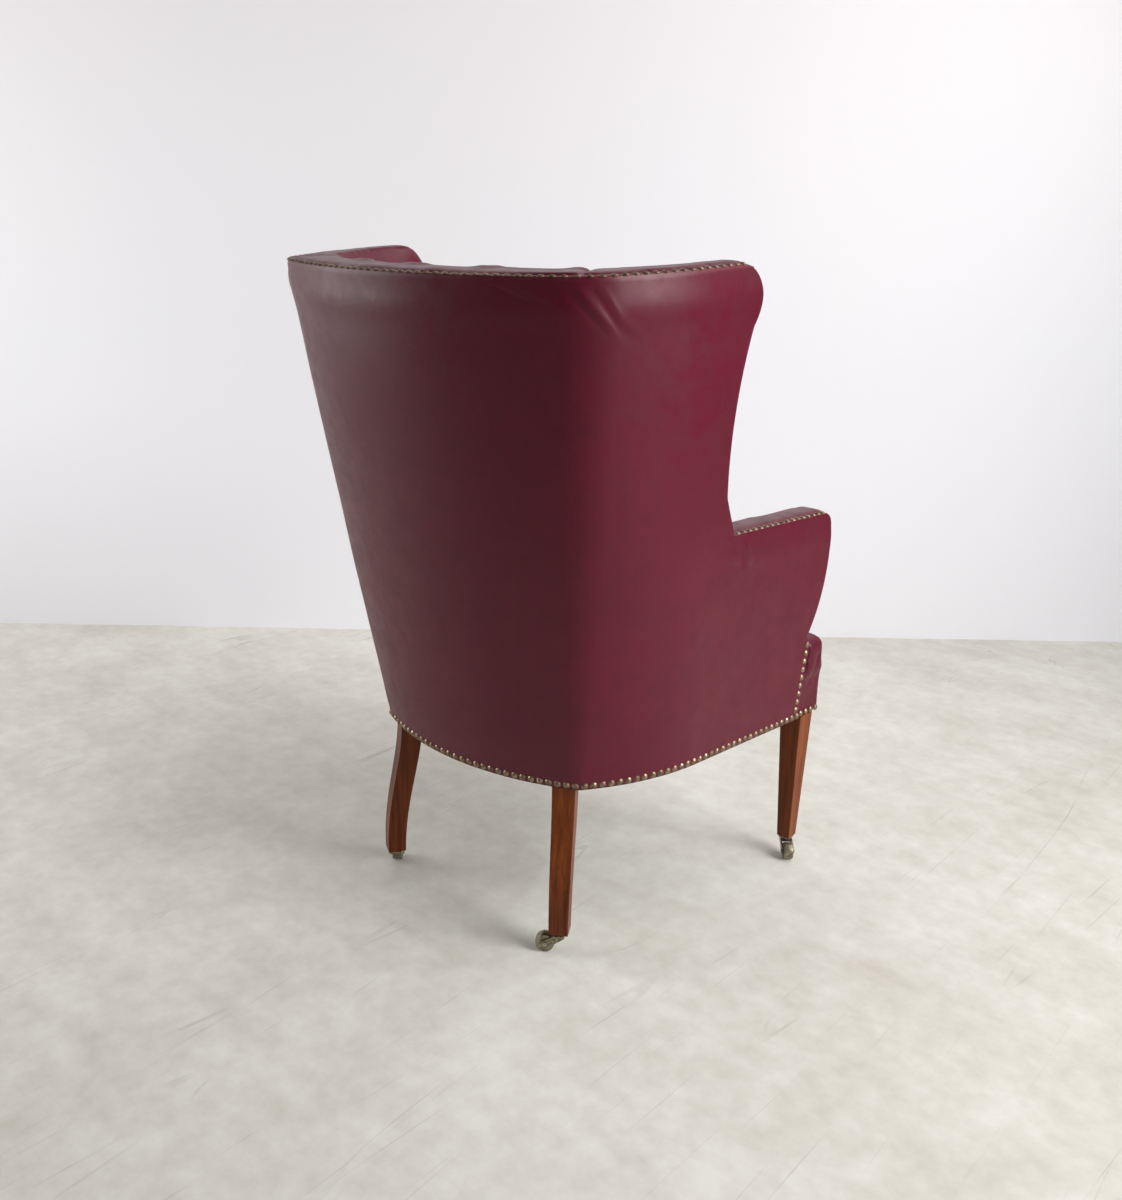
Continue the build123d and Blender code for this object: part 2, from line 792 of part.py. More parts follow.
# Webbing: straps tacked under the rails from front to back, and others across below them
long_straps = [web_long_pitch * step for step in (-2, -1, 0, 1, 2)]
cross_straps = [web_front + web_cross_pitch * step for step in range(web_cross_count)]
web_reach = frame_inset + leather
with BuildPart() as web_field:
    loft(sections=filled(outside, web_reach, -(rail_front - leather)))
with BuildPart() as seat_webbing:
    for x in long_straps:
        with Locations((x, 0, rail_bottom - webbing_thick / 2)):
            Box(webbing_width, 2 * span, webbing_thick)
    for y in cross_straps:
        with Locations((0, y, rail_bottom - webbing_thick * 1.5 - web_gap)):
            Box(2 * span, webbing_width, webbing_thick)
    add(web_field.part, mode=Mode.INTERSECT)
keep(seat_webbing.part, "seat_webbing")


# Seat springs: waisted coils, each half turn one arc, standing on the webbing crossings
def coil_radius(share):
    """Radius of a coil at a share of its height, narrowest at the waist."""
    return spring_waist + (spring_radius - spring_waist) * (2 * share - 1) ** 2


spring_low = rail_bottom + spring_wire / 2 + joint_gap
spring_high = spring_top - canvas - spring_wire / 2 - joint_gap
coil_rise = (spring_high - spring_low) / half_turns
coil_points = []
for step in range(half_turns + 1):
    side = 1 if step % 2 == 0 else -1
    coil_points.append((side * coil_radius(step / half_turns), 0, spring_low + coil_rise * step))
print("least gap between turns of a spring", round(2 * coil_rise - spring_wire, 2))
with BuildPart() as spring:
    with BuildLine() as coil:
        for step, (start, end) in enumerate(zip(coil_points, coil_points[1:])):
            side = 1 if step % 2 == 0 else -1
            bow = hypot(end[0] - start[0], end[2] - start[2]) / 2
            middle = ((start[0] + end[0]) / 2, side * bow, (start[2] + end[2]) / 2)
            ThreePointArc(start, middle, end)
    with BuildSketch(Plane(origin=coil_points[0], z_dir=(0, 1, 0))):
        Circle(spring_wire / 2)
    sweep(path=coil.wires()[0])
with BuildPart() as seat_springs:
    for x in long_straps[::2]:
        for y in cross_straps[::2]:
            with Locations((x, y, 0)):
                add(spring.part)
keep(seat_springs.part, "seat_springs")

# Dust cloth under the webbing, cut round the legs
with BuildPart() as bottom_cloth:
    loft(sections=filled(outside, web_reach, -(rail_front - leather)))
    add(slab(cloth_low, cloth_low + cloth_thick), mode=Mode.INTERSECT)
    for side in sides.values():
        with BuildSketch(Plane((side * front_leg_place[0], front_leg_place[1], cloth_low))):
            Rectangle(front_leg_top + 2 * soft_gap, front_leg_top + 2 * soft_gap)
        extrude(amount=rail_bottom - cloth_low, mode=Mode.SUBTRACT)
        loft(sections=[turned_square(side, post_centre(z), z, post_size + 2 * soft_gap)
                       for z in (cover_bottom, rail_bottom)], ruled=True, mode=Mode.SUBTRACT)
keep(bottom_cloth.part, "bottom_cloth")

# Corner blocks: glued in the corners of the seat frame against the legs
with BuildPart() as corner_blocks:
    for side in sides.values():
        with BuildSketch(Plane((side * post_foot[0], post_foot[1], block_low))):
            Rectangle(block_size, block_size, rotation=-side * post_turn)
        extrude(amount=block_high - block_low)
        with BuildSketch(Plane((side * front_leg_place[0], front_leg_place[1], block_low))):
            Rectangle(block_size, block_size)
        extrude(amount=block_high - block_low)
    loft(sections=filled(outside, pad_inset, -rail_back), mode=Mode.INTERSECT)
    for leg in list(rear_legs.values()) + list(front_legs.values()):
        add(leg, mode=Mode.SUBTRACT)
keep(corner_blocks.part, "corner_blocks")

# Nails: a brass dome on a short shank
with BuildPart() as nail:
    with BuildSketch(Plane.XZ):
        with BuildLine():
            Polyline((0, nail_rise), (0, -nail_length), (nail_shank, -nail_length), (nail_shank, 0),
                     (nail_radius, 0))
            ThreePointArc((nail_radius, 0), dome_middle(nail_radius, nail_rise), (0, nail_rise))
        make_face()
    revolve(axis=Axis.Z)


def shell(inset):
    """Solid of everything inside the outside leather, drawn in by an inset."""
    with BuildPart() as whole:
        loft(sections=filled(outside, inset))
    return whole.part


def row_along(whole, plane, y_low, y_high, pitch):
    """Even places on the left half of a shell's edge in a plane, between two depths, with the way out."""
    trace = []
    for edge in section(whole, section_by=plane).edges():
        steps = ceil(edge.length / trace_step)
        trace += [edge.position_at(step / steps) for step in range(steps + 1)]
    trace = [point for point in trace if point.X >= 0 and y_low <= point.Y <= y_high]
    trace.sort(key=lambda point: atan2(point.X, point.Y - fan_centre))
    if y_high == span:
        trace.insert(0, Vector(0, trace[0].Y, trace[0].Z))
    runs = [0.0]
    for start, end in zip(trace, trace[1:]):
        runs.append(runs[-1] + (end - start).length)
    count = round(runs[-1] / pitch)
    places = []
    for step in range(count + 1):
        mark = min(bisect_left(runs, runs[-1] * step / count), len(trace) - 1)
        ahead = trace[min(mark + 2, len(trace) - 1)] - trace[max(mark - 2, 0)]
        places.append((trace[mark], Vector(abs(ahead.Y), ahead.X, 0).normalized()))
    return places


def facing(whole, place, outward):
    """Place on a shell's face that a line through a point meets first, and the way out of it there."""
    start = place - outward * wrap
    hits = whole.find_intersection_points(Axis(start, outward))
    point, normal = min(hits, key=lambda hit: (hit[0] - place).length)
    return point, normal if normal.dot(outward) > 0 else -normal


def both_sides(places):
    """The given places and the same ones mirrored to the other side."""
    mirrored = [(Vector(-p.X, p.Y, p.Z), Vector(-n.X, n.Y, n.Z)) for p, n in places if p.X > nail_radius]
    return places + mirrored


def drive(places):
    """Nails at the given places, each square to the leather."""
    with BuildPart() as driven:
        with Locations([Plane(origin=place, z_dir=normal) for place, normal in places]):
            add(nail.part)
    return driven.part


outer_shell = shell(0.0)
border_shell = shell(leather + soft_gap)
nail_shell = shell(rim_nail_inset)

# Bottom row: all round below the seat, on the border where that shows
bottom_plane = Plane.XY.offset(cover_bottom + nail_lift)
bottom_places = []
for place, outward in row_along(outer_shell, bottom_plane, -seat_front + nail_pitch / 2, span, nail_pitch):
    on_border = place.Y < skirt_foot - nail_radius
    bottom_places.append(facing(border_shell if on_border else outer_shell, place, outward))
front_half = facing(border_shell, Vector(roll_half, -seat_front + nail_pitch, bottom_plane.origin.Z),
                    Vector(1, 0, 0))[0].X - nail_pitch / 2
front_count = round(2 * front_half / nail_pitch)
front_places = [(Vector(front_half * (2 * step / front_count - 1), -seat_front, bottom_plane.origin.Z),
                 Vector(0, -1, 0)) for step in range(front_count + 1)]
nails_bottom = drive(both_sides(bottom_places) + front_places)
keep(nails_bottom, "nails_bottom")

# Rim row: on the folded edge along the top of back and wings
rim_tilt = radians(rim_slope)
rim_plane = Plane(origin=(0, crest_back, rim_height), z_dir=(0, sin(rim_tilt), cos(rim_tilt)))
rim_row = row_along(nail_shell, rim_plane, wing_front + wing_corner_radius, span, rim_nail_pitch)
nails_rim = drive(both_sides([(place, rim_plane.z_dir) for place, outward in rim_row]))
keep(nails_rim, "nails_rim")

# Arm rows: on the folded edge along the arm tops
arm_plane = Plane(origin=(0, arm_root, arm_root_height), z_dir=(0, -arm_slope_share, 1))
arm_row = row_along(nail_shell, arm_plane, arm_tip + arm_tip_radius, arm_root - nail_pitch, rim_nail_pitch)
nails_arms = drive(both_sides([(place, arm_plane.z_dir) for place, outward in arm_row]))
keep(nails_arms, "nails_arms")

# Skirt rows: down the front edges of the outside leather below the arms
skirt_places = []
for step in range(skirt_nail_count):
    share = step / (skirt_nail_count - 1)
    y = skirt_foot + (skirt_top - skirt_foot) * share + skirt_nail_inset
    z = skirt_nail_low + (skirt_nail_high - skirt_nail_low) * share
    skirt_places.append(facing(outer_shell, Vector(roll_half, y, z), Vector(1, 0, 0)))
nails_skirt = drive(both_sides(skirt_places))
keep(nails_skirt, "nails_skirt")


# Casters: plate and pintle on the leg, fork round the pintle, wheel on an axle through the fork
def caster_planes():
    """Each caster's name, its frame with X along the trail, and the name of its leg."""
    rear_x = post_foot[0] + rear_splay * sin(radians(post_turn))
    rear_y = post_foot[1] + rear_splay * cos(radians(post_turn))
    places = {
        "front_right": (-front_leg_place[0], front_leg_place[1], trail_front_right),
        "front_left": (front_leg_place[0], front_leg_place[1], trail_front_left),
        "rear_right": (-rear_x, rear_y, trail_rear_right),
        "rear_left": (rear_x, rear_y, trail_rear_left),
    }
    return {name: Plane(origin=(x, y, 0), x_dir=(cos(radians(turn)), sin(radians(turn)), 0), z_dir=(0, 0, 1))
            for name, (x, y, turn) in places.items()}


plate_low = caster_height - caster_plate_thick
hub_high = plate_low - boss_height - hub_gap
hub_low = hub_high - hub_thick
head_high = hub_low - hub_gap
cheek_inner = wheel_width / 2 + cheek_gap
cheek_outer = cheek_inner + cheek
screw_places = []
for name, frame in caster_planes().items():
    leg_turn = 0 if name.startswith("front") else (post_turn if name.endswith("right") else -post_turn)
    leg_way = (cos(radians(leg_turn)), sin(radians(leg_turn)), 0)
    spot = Plane(origin=frame.origin, x_dir=leg_way, z_dir=(0, 0, 1))
    with BuildPart() as caster_plate:
        with BuildSketch(spot.offset(plate_low)):
            RectangleRounded(caster_plate_size, caster_plate_size, foot_chamfer)
        extrude(amount=caster_plate_thick)
        with BuildSketch(spot.offset(plate_low - boss_height)):
            Circle(boss_low_radius)
        with BuildSketch(spot.offset(plate_low)):
            Circle(boss_radius)
        loft()
        with BuildSketch(spot.offset(head_high)):
            Circle(pintle_radius)
        extrude(amount=plate_low - head_high)
        with BuildSketch(spot.offset(head_high - rivet_thick)):
            Circle(rivet_radius)
        extrude(amount=rivet_thick)
        with Locations(Plane(origin=spot.offset(plate_low).origin, x_dir=spot.x_dir, z_dir=(0, 0, -1))):
            with GridLocations(2 * screw_spread, 2 * screw_spread, 2, 2):
                CounterBoreHole(screw_radius + running_gap, screw_head + running_gap, screw_head_depth,
                                depth=caster_plate_thick)
    keep(caster_plate.part, f"caster_plate_{name}")
    with BuildPart() as caster_fork:
        with BuildSketch(frame.offset(hub_low)):
            Circle(hub_radius)
            with Locations((bridge_front - hub_radius / 2 - bridge_front / 2, 0)):
                Rectangle(bridge_front + hub_radius, 2 * cheek_outer)
        extrude(amount=hub_thick)
        cheek_plane = Plane(origin=frame.origin, x_dir=frame.x_dir, z_dir=-frame.y_dir)
        with BuildSketch(cheek_plane.offset(cheek_inner), cheek_plane.offset(-cheek_outer)):
            with BuildLine():
                lean = radians(cheek_lean)
                Polyline((-hub_radius, hub_low), (-hub_radius, hub_high), (bridge_front, hub_high),
                         (caster_trail + cheek_radius * cos(lean), wheel_radius + cheek_radius * sin(lean)),
                         (caster_trail - cheek_radius * cos(lean), wheel_radius - cheek_radius * sin(lean)),
                         (-hub_radius, hub_low))
            make_face()
            with Locations((caster_trail, wheel_radius)):
                Circle(cheek_radius)
        extrude(amount=cheek)
        with BuildSketch(frame.offset(hub_low)):
            Circle(pintle_radius + running_gap)
        extrude(amount=hub_thick, mode=Mode.SUBTRACT)
        with BuildSketch(cheek_plane):
            with Locations((caster_trail, wheel_radius)):
                Circle(axle_radius)
        extrude(amount=cheek_outer, both=True, mode=Mode.SUBTRACT)
    keep(caster_fork.part, f"caster_fork_{name}")
    with BuildPart() as caster_wheel:
        wheel_plane = Plane(origin=frame.origin + frame.x_dir * caster_trail + frame.z_dir * wheel_radius,
                            x_dir=frame.y_dir, z_dir=frame.x_dir)
        with BuildSketch(wheel_plane):
            half = wheel_width / 2
            bore = axle_radius + running_gap
            with BuildLine():
                Polyline((-half, wheel_radius - wheel_crown), (-half, bore), (half, bore),
                         (half, wheel_radius - wheel_crown))
                ThreePointArc((half, wheel_radius - wheel_crown), (0, wheel_radius),
                              (-half, wheel_radius - wheel_crown))
            make_face()
        revolve(axis=Axis(wheel_plane.origin, frame.y_dir))
    keep(caster_wheel.part, f"caster_wheel_{name}")
    with BuildPart() as caster_axle:
        axle_plane = Plane(origin=wheel_plane.origin, x_dir=frame.x_dir, z_dir=frame.y_dir)
        with BuildSketch(axle_plane):
            Circle(axle_radius)
        extrude(amount=cheek_outer, both=True)
        for end in (cheek_outer, -cheek_outer - axle_head):
            with BuildSketch(axle_plane.offset(end)):
                Circle(axle_head_radius)
            extrude(amount=axle_head)
    keep(caster_axle.part, f"caster_axle_{name}")
    for across in (-screw_spread, screw_spread):
        for along in (-screw_spread, screw_spread):
            place = spot.offset(plate_low).origin + spot.x_dir * across + spot.y_dir * along
            screw_places.append(Plane(origin=place))

# Caster screws: countersunk into the plates, driven up into the legs
with BuildPart() as screw:
    with BuildSketch(Plane.XY):
        Circle(screw_head)
    extrude(amount=screw_head_depth)
    with BuildSketch(Plane.XY):
        Circle(screw_radius)
    extrude(amount=screw_length)
with BuildPart() as caster_screws:
    for place in screw_places:
        with Locations(place):
            add(screw.part)
keep(caster_screws.part, "caster_screws")
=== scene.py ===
import json
import bmesh
import bpy
import numpy as np
from mathutils import Matrix, Vector


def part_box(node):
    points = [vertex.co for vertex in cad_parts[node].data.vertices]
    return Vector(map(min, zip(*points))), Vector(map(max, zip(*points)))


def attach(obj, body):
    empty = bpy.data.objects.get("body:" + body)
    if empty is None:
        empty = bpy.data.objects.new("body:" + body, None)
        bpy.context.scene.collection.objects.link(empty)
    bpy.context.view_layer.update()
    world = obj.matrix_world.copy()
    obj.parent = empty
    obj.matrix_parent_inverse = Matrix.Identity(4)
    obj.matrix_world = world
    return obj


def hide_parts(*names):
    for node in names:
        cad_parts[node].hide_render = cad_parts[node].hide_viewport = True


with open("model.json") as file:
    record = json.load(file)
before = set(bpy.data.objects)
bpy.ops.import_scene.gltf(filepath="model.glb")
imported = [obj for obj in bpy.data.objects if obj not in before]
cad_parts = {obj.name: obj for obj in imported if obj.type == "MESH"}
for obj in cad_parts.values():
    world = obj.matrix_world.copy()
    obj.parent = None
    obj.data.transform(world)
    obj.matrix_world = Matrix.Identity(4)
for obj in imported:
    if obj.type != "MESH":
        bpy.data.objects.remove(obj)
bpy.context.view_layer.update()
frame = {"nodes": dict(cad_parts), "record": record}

# Oxblood leather armchair with a barrel back, seen from behind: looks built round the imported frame
# Metres, Z up, the seat front towards -Y

nodes = frame["nodes"]
record = frame["record"]

# Room, light and camera

studio = {
    "wallDistance": 3.28,  # from the camera, along the floor
    "floorSize": 14.0,
    "wallHeight": 6.0,
    "skyColor": (0.97, 0.98, 1.0, 1),
    "ambient": 0.20,
    "backdrop": 0.85,
}
# Painted light on the wall: a warm tint above and a cool tint below
wallLightTint = {
    "warm": (0.97, 0.915, 0.92, 1), "cool": (0.91, 0.905, 0.945, 1),
    "heights": (1.3, 3.0),  # cool below, warm above
    "cloudScale": 1.6, "roughness": 0.9, "specular": 0.15,
}
floorWear = {
    "color": (0.715, 0.688, 0.618), "specular": 0.3, "roughness": (0.45, 0.75),
    # shares of that color
    "darker": (0.83, 0.82, 0.79), "lighter": (1.09, 1.11, 1.13), "scratch": (0.45, 0.44, 0.42),
    # noise scale, detail, stretch and share of each layer of clouds
    "clouds": ((1.1, 6, 1, 0.30), (5.5, 8, 1, 0.30), (2.4, 9, 7, 0.14), (26.0, 6, 1, 0.26)),
    "cloudTurn": 0.37, "cloudRough": 0.62, "cloudSpan": (0.38, 0.58),
    # turn, noise scale and stretch of each set of scratches
    "scratches": ((0.5, 2.9, 0.045), (2.1, 3.7, 0.035), (1.2, 4.6, 0.05), (2.8, 3.1, 0.04)),
    "scratchDetail": 0.6, "scratchWidth": 0.0016, "scratchPatches": (0.52, 0.66), "scratchDepth": 0.30,
    "bump": {"Strength": 0.12, "Distance": 0.004},
}
viewpoint = {
    "place": (-1.3044, 1.5029, 1.1622),
    "yaw": 0.70647,  # the way it looks, turned from -Y towards +X
    "pitch": 0.313407,  # downwards
    "roll": 0.0171759,
    "lens": 35.87,
}
lamps = {
    # place, aim, size, power and spread
    "keyRight": ((-2.7, -0.6, 1.9), (0, 0.1, 0.95), (1.6, 2.4), 47, 2.0),
    "leftWash": ((2.3, 1.5, 1.3), (0.2, -0.1, 0.5), (1.5, 2.0), 25, 2.6),
    "lowRight": ((-2.4, 0.6, 0.7), (0, 0, 0.3), (2.4, 1.0), 5, 3.1),
    "frontFill": ((-1.0, -1.35, 2.2), (0, -0.2, 0.5), (1.2, 1.2), 9, 2.6),
}


def addNode(tree, kind, values=None, **settings):
    # A node with its settings; each value is a constant or the socket that feeds it
    node = tree.nodes.new(kind)
    for key, value in settings.items():
        setattr(node, key, value)
    feed(tree, node, values or {})
    return node


def feed(tree, node, values):
    for key, value in values.items():
        if isinstance(value, bpy.types.NodeSocket):
            tree.links.new(value, node.inputs[key])
        else:
            node.inputs[key].default_value = value


def maths(tree, operation, *values, **settings):
    node = addNode(tree, "ShaderNodeMath", dict(enumerate(values)), operation=operation, **settings)
    return node.outputs[0]


def mapRange(tree, value, span=(0, 1), reach=(0, 1)):
    # A value carried from one span to another and held inside it
    return addNode(tree, "ShaderNodeMapRange", {
        "Value": value, "From Min": span[0], "From Max": span[1],
        "To Min": reach[0], "To Max": reach[1]}).outputs["Result"]


def noise(tree, vector, scale, detail, roughness=0.5, distortion=0.0):
    return addNode(tree, "ShaderNodeTexNoise", {
        "Vector": vector, "Scale": scale, "Detail": detail, "Roughness": roughness,
        "Distortion": distortion}).outputs["Fac"]


def stretched(tree, vector, scale, turn=0.0):
    return addNode(tree, "ShaderNodeMapping", {
        "Vector": vector, "Scale": scale, "Rotation": (0, 0, turn)}).outputs["Vector"]


def mixColors(tree, factor, first, second):
    return addNode(tree, "ShaderNodeMix", {"Factor": factor, "A": first, "B": second},
                   data_type="RGBA").outputs["Result"]


def newMaterial(name):
    # A material, its node tree and its Principled shader
    material = bpy.data.materials.new(name)
    material.use_nodes = True
    tree = material.node_tree
    return material, tree, tree.nodes["Principled BSDF"]


def wallPaint():
    # Matt white paint under a painted light tint, warm above and cool below, its edge broken up by faint
    # clouds. It is seen from its front only, so that views from behind the wall stay open
    material, tree, shader = newMaterial("wallPaint")
    coords = addNode(tree, "ShaderNodeTexCoord").outputs["Object"]
    height = addNode(tree, "ShaderNodeSeparateXYZ", {"Vector": coords}).outputs["Z"]
    cloudy = maths(tree, "ADD", height, noise(tree, coords, wallLightTint["cloudScale"], 4))
    rise = mapRange(tree, cloudy, wallLightTint["heights"])
    feed(tree, shader, {
        "Roughness": wallLightTint["roughness"], "Specular IOR Level": wallLightTint["specular"],
        "Base Color": mixColors(tree, rise, wallLightTint["cool"], wallLightTint["warm"])})
    back = addNode(tree, "ShaderNodeNewGeometry").outputs["Backfacing"]
    clear = addNode(tree, "ShaderNodeBsdfTransparent").outputs["BSDF"]
    either = addNode(tree, "ShaderNodeMixShader", {"Fac": back, 1: shader.outputs["BSDF"], 2: clear})
    feed(tree, tree.nodes["Material Output"], {"Surface": either.outputs["Shader"]})
    return material


def floorPaint():
    # Pale worn concrete: broad clouds, finer blotches and faint scratches
    def shade(name):
        return tuple(a * b for a, b in zip(floorWear[name], floorWear["color"])) + (1,)

    material, tree, shader = newMaterial("floorPaint")
    coords = addNode(tree, "ShaderNodeTexCoord").outputs["Object"]
    total = 0.0
    for scale, detail, stretch, share in floorWear["clouds"]:
        place = stretched(tree, coords, (1, stretch, 1), stretch * floorWear["cloudTurn"])
        layer = maths(tree, "MULTIPLY", noise(tree, place, scale, detail, floorWear["cloudRough"]), share)
        total = maths(tree, "ADD", total, layer)
    spread = mapRange(tree, total, floorWear["cloudSpan"])
    worn = mixColors(tree, spread, shade("darker"), shade("lighter"))
    # scratches: thin bands where a stretched noise passes its middle, broken up by patches
    for turn, scale, stretch in floorWear["scratches"]:
        place = stretched(tree, coords, (1, stretch, 1), turn)
        lines = noise(tree, place, scale * 2, floorWear["scratchDetail"])
        band = maths(tree, "COMPARE", lines, 0.5, floorWear["scratchWidth"])
        patches = mapRange(tree, noise(tree, coords, scale * 1.3, 2),
                           floorWear["scratchPatches"], (0, floorWear["scratchDepth"]))
        worn = mixColors(tree, maths(tree, "MULTIPLY", band, patches), worn, shade("scratch"))
    bump = addNode(tree, "ShaderNodeBump", dict(floorWear["bump"], Height=total))
    feed(tree, shader, {
        "Specular IOR Level": floorWear["specular"], "Base Color": worn,
        "Roughness": mapRange(tree, spread, (0, 1), floorWear["roughness"]),
        "Normal": bump.outputs["Normal"]})
    return material


def meshObject(name, points, faces, smooth=True):
    # A mesh object from an array of points and lists of faces
    mesh = bpy.data.meshes.new(name)
    mesh.from_pydata([tuple(p) for p in points], [], faces)
    mesh.validate()
    if smooth:
        mesh.polygons.foreach_set("use_smooth", np.ones(len(mesh.polygons), dtype=bool))
    mesh.update()
    thing = bpy.data.objects.new(name, mesh)
    bpy.context.scene.collection.objects.link(thing)
    return thing


def cameraLevel():
    # Level directions of the camera: ahead and to its right
    yaw = viewpoint["yaw"]
    return np.array([np.sin(yaw), -np.cos(yaw), 0]), np.array([-np.cos(yaw), -np.sin(yaw), 0])


def buildStudio():
    half = studio["floorSize"] / 2
    floor = meshObject("floor", [(-half, -half, 0), (half, -half, 0), (half, half, 0), (-half, half, 0)],
                       [(0, 1, 2, 3)], False)
    floor.data.materials.append(floorPaint())
    ahead, across = cameraLevel()
    foot = np.array(viewpoint["place"]) * (1, 1, 0) + ahead * studio["wallDistance"]
    up = np.array([0, 0, studio["wallHeight"]])
    left, right = foot - across * half, foot + across * half
    corners = [left, right, right + up, left + up]
    wall = meshObject("wall", corners, [(0, 1, 2, 3)], False)
    wall.data.materials.append(wallPaint())
    world = bpy.context.scene.world or bpy.data.worlds.new("studio")
    bpy.context.scene.world = world
    world.use_nodes = True
    sky = world.node_tree.nodes["Background"]
    sky.inputs["Color"].default_value = studio["skyColor"]
    # bright where the camera sees it, dim as light
    seen = addNode(world.node_tree, "ShaderNodeLightPath").outputs["Is Camera Ray"]
    level = mapRange(world.node_tree, seen, (0, 1), (studio["ambient"], studio["backdrop"]))
    feed(world.node_tree, sky, {"Strength": level})
    for name, (place, aim, size, power, spread) in lamps.items():
        light = bpy.data.lights.new(name, "AREA")
        light.shape = "RECTANGLE"
        light.size, light.size_y = size
        light.energy = power
        light.spread = spread
        holder = bpy.data.objects.new(name, light)
        holder.location = place
        holder.rotation_euler = (Vector(aim) - Vector(place)).to_track_quat("-Z", "Y").to_euler()
        bpy.context.scene.collection.objects.link(holder)


def buildCamera():
    # right, up and back of the camera, from its yaw, pitch and roll
    pitch, roll = viewpoint["pitch"], viewpoint["roll"]
    flat, side = cameraLevel()
    up = np.array([0, 0, 1])
    ahead = flat * np.cos(pitch) - up * np.sin(pitch)
    top = up * np.cos(pitch) + flat * np.sin(pitch)
    right = side * np.cos(roll) + top * np.sin(roll)
    head = top * np.cos(roll) - side * np.sin(roll)
    data = bpy.data.cameras.new("photoCamera")
    data.sensor_fit = "VERTICAL"
    data.sensor_height = 36
    data.lens = viewpoint["lens"]
    camera = bpy.data.objects.new("photoCamera", data)
    turn = Matrix((right, head, -ahead)).transposed().to_4x4()
    camera.matrix_world = Matrix.Translation(viewpoint["place"]) @ turn
    bpy.context.scene.collection.objects.link(camera)
    bpy.context.scene.camera = camera


buildStudio()
buildCamera()
bpy.context.scene.view_settings.view_transform = "Standard"
print("studio and camera done")

# Shader groups shared by the finishes


def newGroup(name, inputs, outputs):
    # A shader node group with named sockets; gives it with its input sockets and its output node
    group = bpy.data.node_groups.new(name, "ShaderNodeTree")
    for label, kind, value in inputs:
        socket = group.interface.new_socket(name=label, in_out="INPUT", socket_type="NodeSocket" + kind)
        if value is not None:
            socket.default_value = value
    for label, kind in outputs:
        group.interface.new_socket(name=label, in_out="OUTPUT", socket_type="NodeSocket" + kind)
    return group, group.nodes.new("NodeGroupInput").outputs, group.nodes.new("NodeGroupOutput")


hideLook = {
    # noise scale, detail and roughness
    "broad": (5.0, 4, 0.55), "cloudy": (38.0, 5, 0.6),
    "broadShare": 0.45, "cloudyShare": 0.55, "mottleSpan": (0.36, 0.64),
    "deepShade": (0.012, 0.002, 0.004, 1), "rubSheenSpan": (0.35, 0.7),
    "poreScale": 620.0, "poreDepth": -0.7, "wrinkleScale": 150.0, "wrinkleWidth": 0.09, "wrinkleDepth": -0.5,
    "swell": 1.6, "roughSpan": (0.3, 0.7), "roughness": (0.32, 0.44),
}


def leatherGroup():
    # Hide colour with broad mottling, fine grain, hairline wrinkles and pale places of rub wear and painted
    # highlight
    group, given, out = newGroup("hideSurface", [
        ("Vector", "Vector", None), ("Base", "Color", (0.1, 0.01, 0.02, 1)),
        ("Rubbed", "Color", (0.2, 0.05, 0.06, 1)), ("Rub", "Float", 0.0),
        ("Grain", "Float", 0.3), ("Mottle", "Float", 0.35),
    ], [("Color", "Color"), ("Roughness", "Float"), ("Height", "Float")])
    vector = given["Vector"]
    broad = noise(group, vector, *hideLook["broad"])
    cloudy = noise(group, vector, *hideLook["cloudy"])
    pores = addNode(group, "ShaderNodeTexVoronoi", {
        "Vector": vector, "Scale": hideLook["poreScale"], "Randomness": 1.0}, feature="SMOOTH_F1")
    wrinkles = addNode(group, "ShaderNodeTexVoronoi", {
        "Vector": vector, "Scale": hideLook["wrinkleScale"]}, feature="DISTANCE_TO_EDGE")
    mottle = maths(group, "ADD", maths(group, "MULTIPLY", broad, hideLook["broadShare"]),
                   maths(group, "MULTIPLY", cloudy, hideLook["cloudyShare"]))
    amount = maths(group, "MULTIPLY", mapRange(group, mottle, hideLook["mottleSpan"]), given["Mottle"])
    dark = mixColors(group, amount, given["Base"], hideLook["deepShade"])
    # the pale mix below is rub wear and a painted highlight
    worn = maths(group, "MULTIPLY", given["Rub"], 1.0, use_clamp=True)
    rub = maths(group, "MULTIPLY", worn, mapRange(group, cloudy, hideLook["rubSheenSpan"]))
    crack = mapRange(group, wrinkles.outputs["Distance"], (0, hideLook["wrinkleWidth"]),
                     (hideLook["wrinkleDepth"], 0))
    pit = maths(group, "MULTIPLY", pores.outputs["Distance"], hideLook["poreDepth"])
    relief = maths(group, "ADD", pit, crack)
    fine = maths(group, "MULTIPLY", relief, given["Grain"])
    feed(group, out, {
        "Color": mixColors(group, rub, dark, given["Rubbed"]),
        "Roughness": mapRange(group, cloudy, hideLook["roughSpan"], hideLook["roughness"]),
        "Height": maths(group, "ADD", fine, maths(group, "MULTIPLY", cloudy, hideLook["swell"]))})
    return group


def woodGroup():
    # Streaked timber along Z with darker pores
    group, given, out = newGroup("timberSurface", [
        ("Vector", "Vector", None), ("Light", "Color", (0.2, 0.06, 0.03, 1)),
        ("Dark", "Color", (0.03, 0.008, 0.005, 1)), ("Contrast", "Float", 0.8),
    ], [("Color", "Color"), ("Roughness", "Float"), ("Height", "Float")])
    along = stretched(group, given["Vector"], (1.0, 1.0, 0.05))
    streak = noise(group, along, 120.0, 7, 0.62, 0.4)
    broad = noise(group, along, 24.0, 3)
    spread = mapRange(group, maths(group, "ADD", streak, broad), (0.75, 1.25))
    amount = maths(group, "MULTIPLY", spread, given["Contrast"])
    feed(group, out, {
        "Color": mixColors(group, amount, given["Dark"], given["Light"]),
        "Roughness": mapRange(group, streak, (0, 1), (0.28, 0.5)),
        "Height": noise(group, along, 900.0, 2)})
    return group


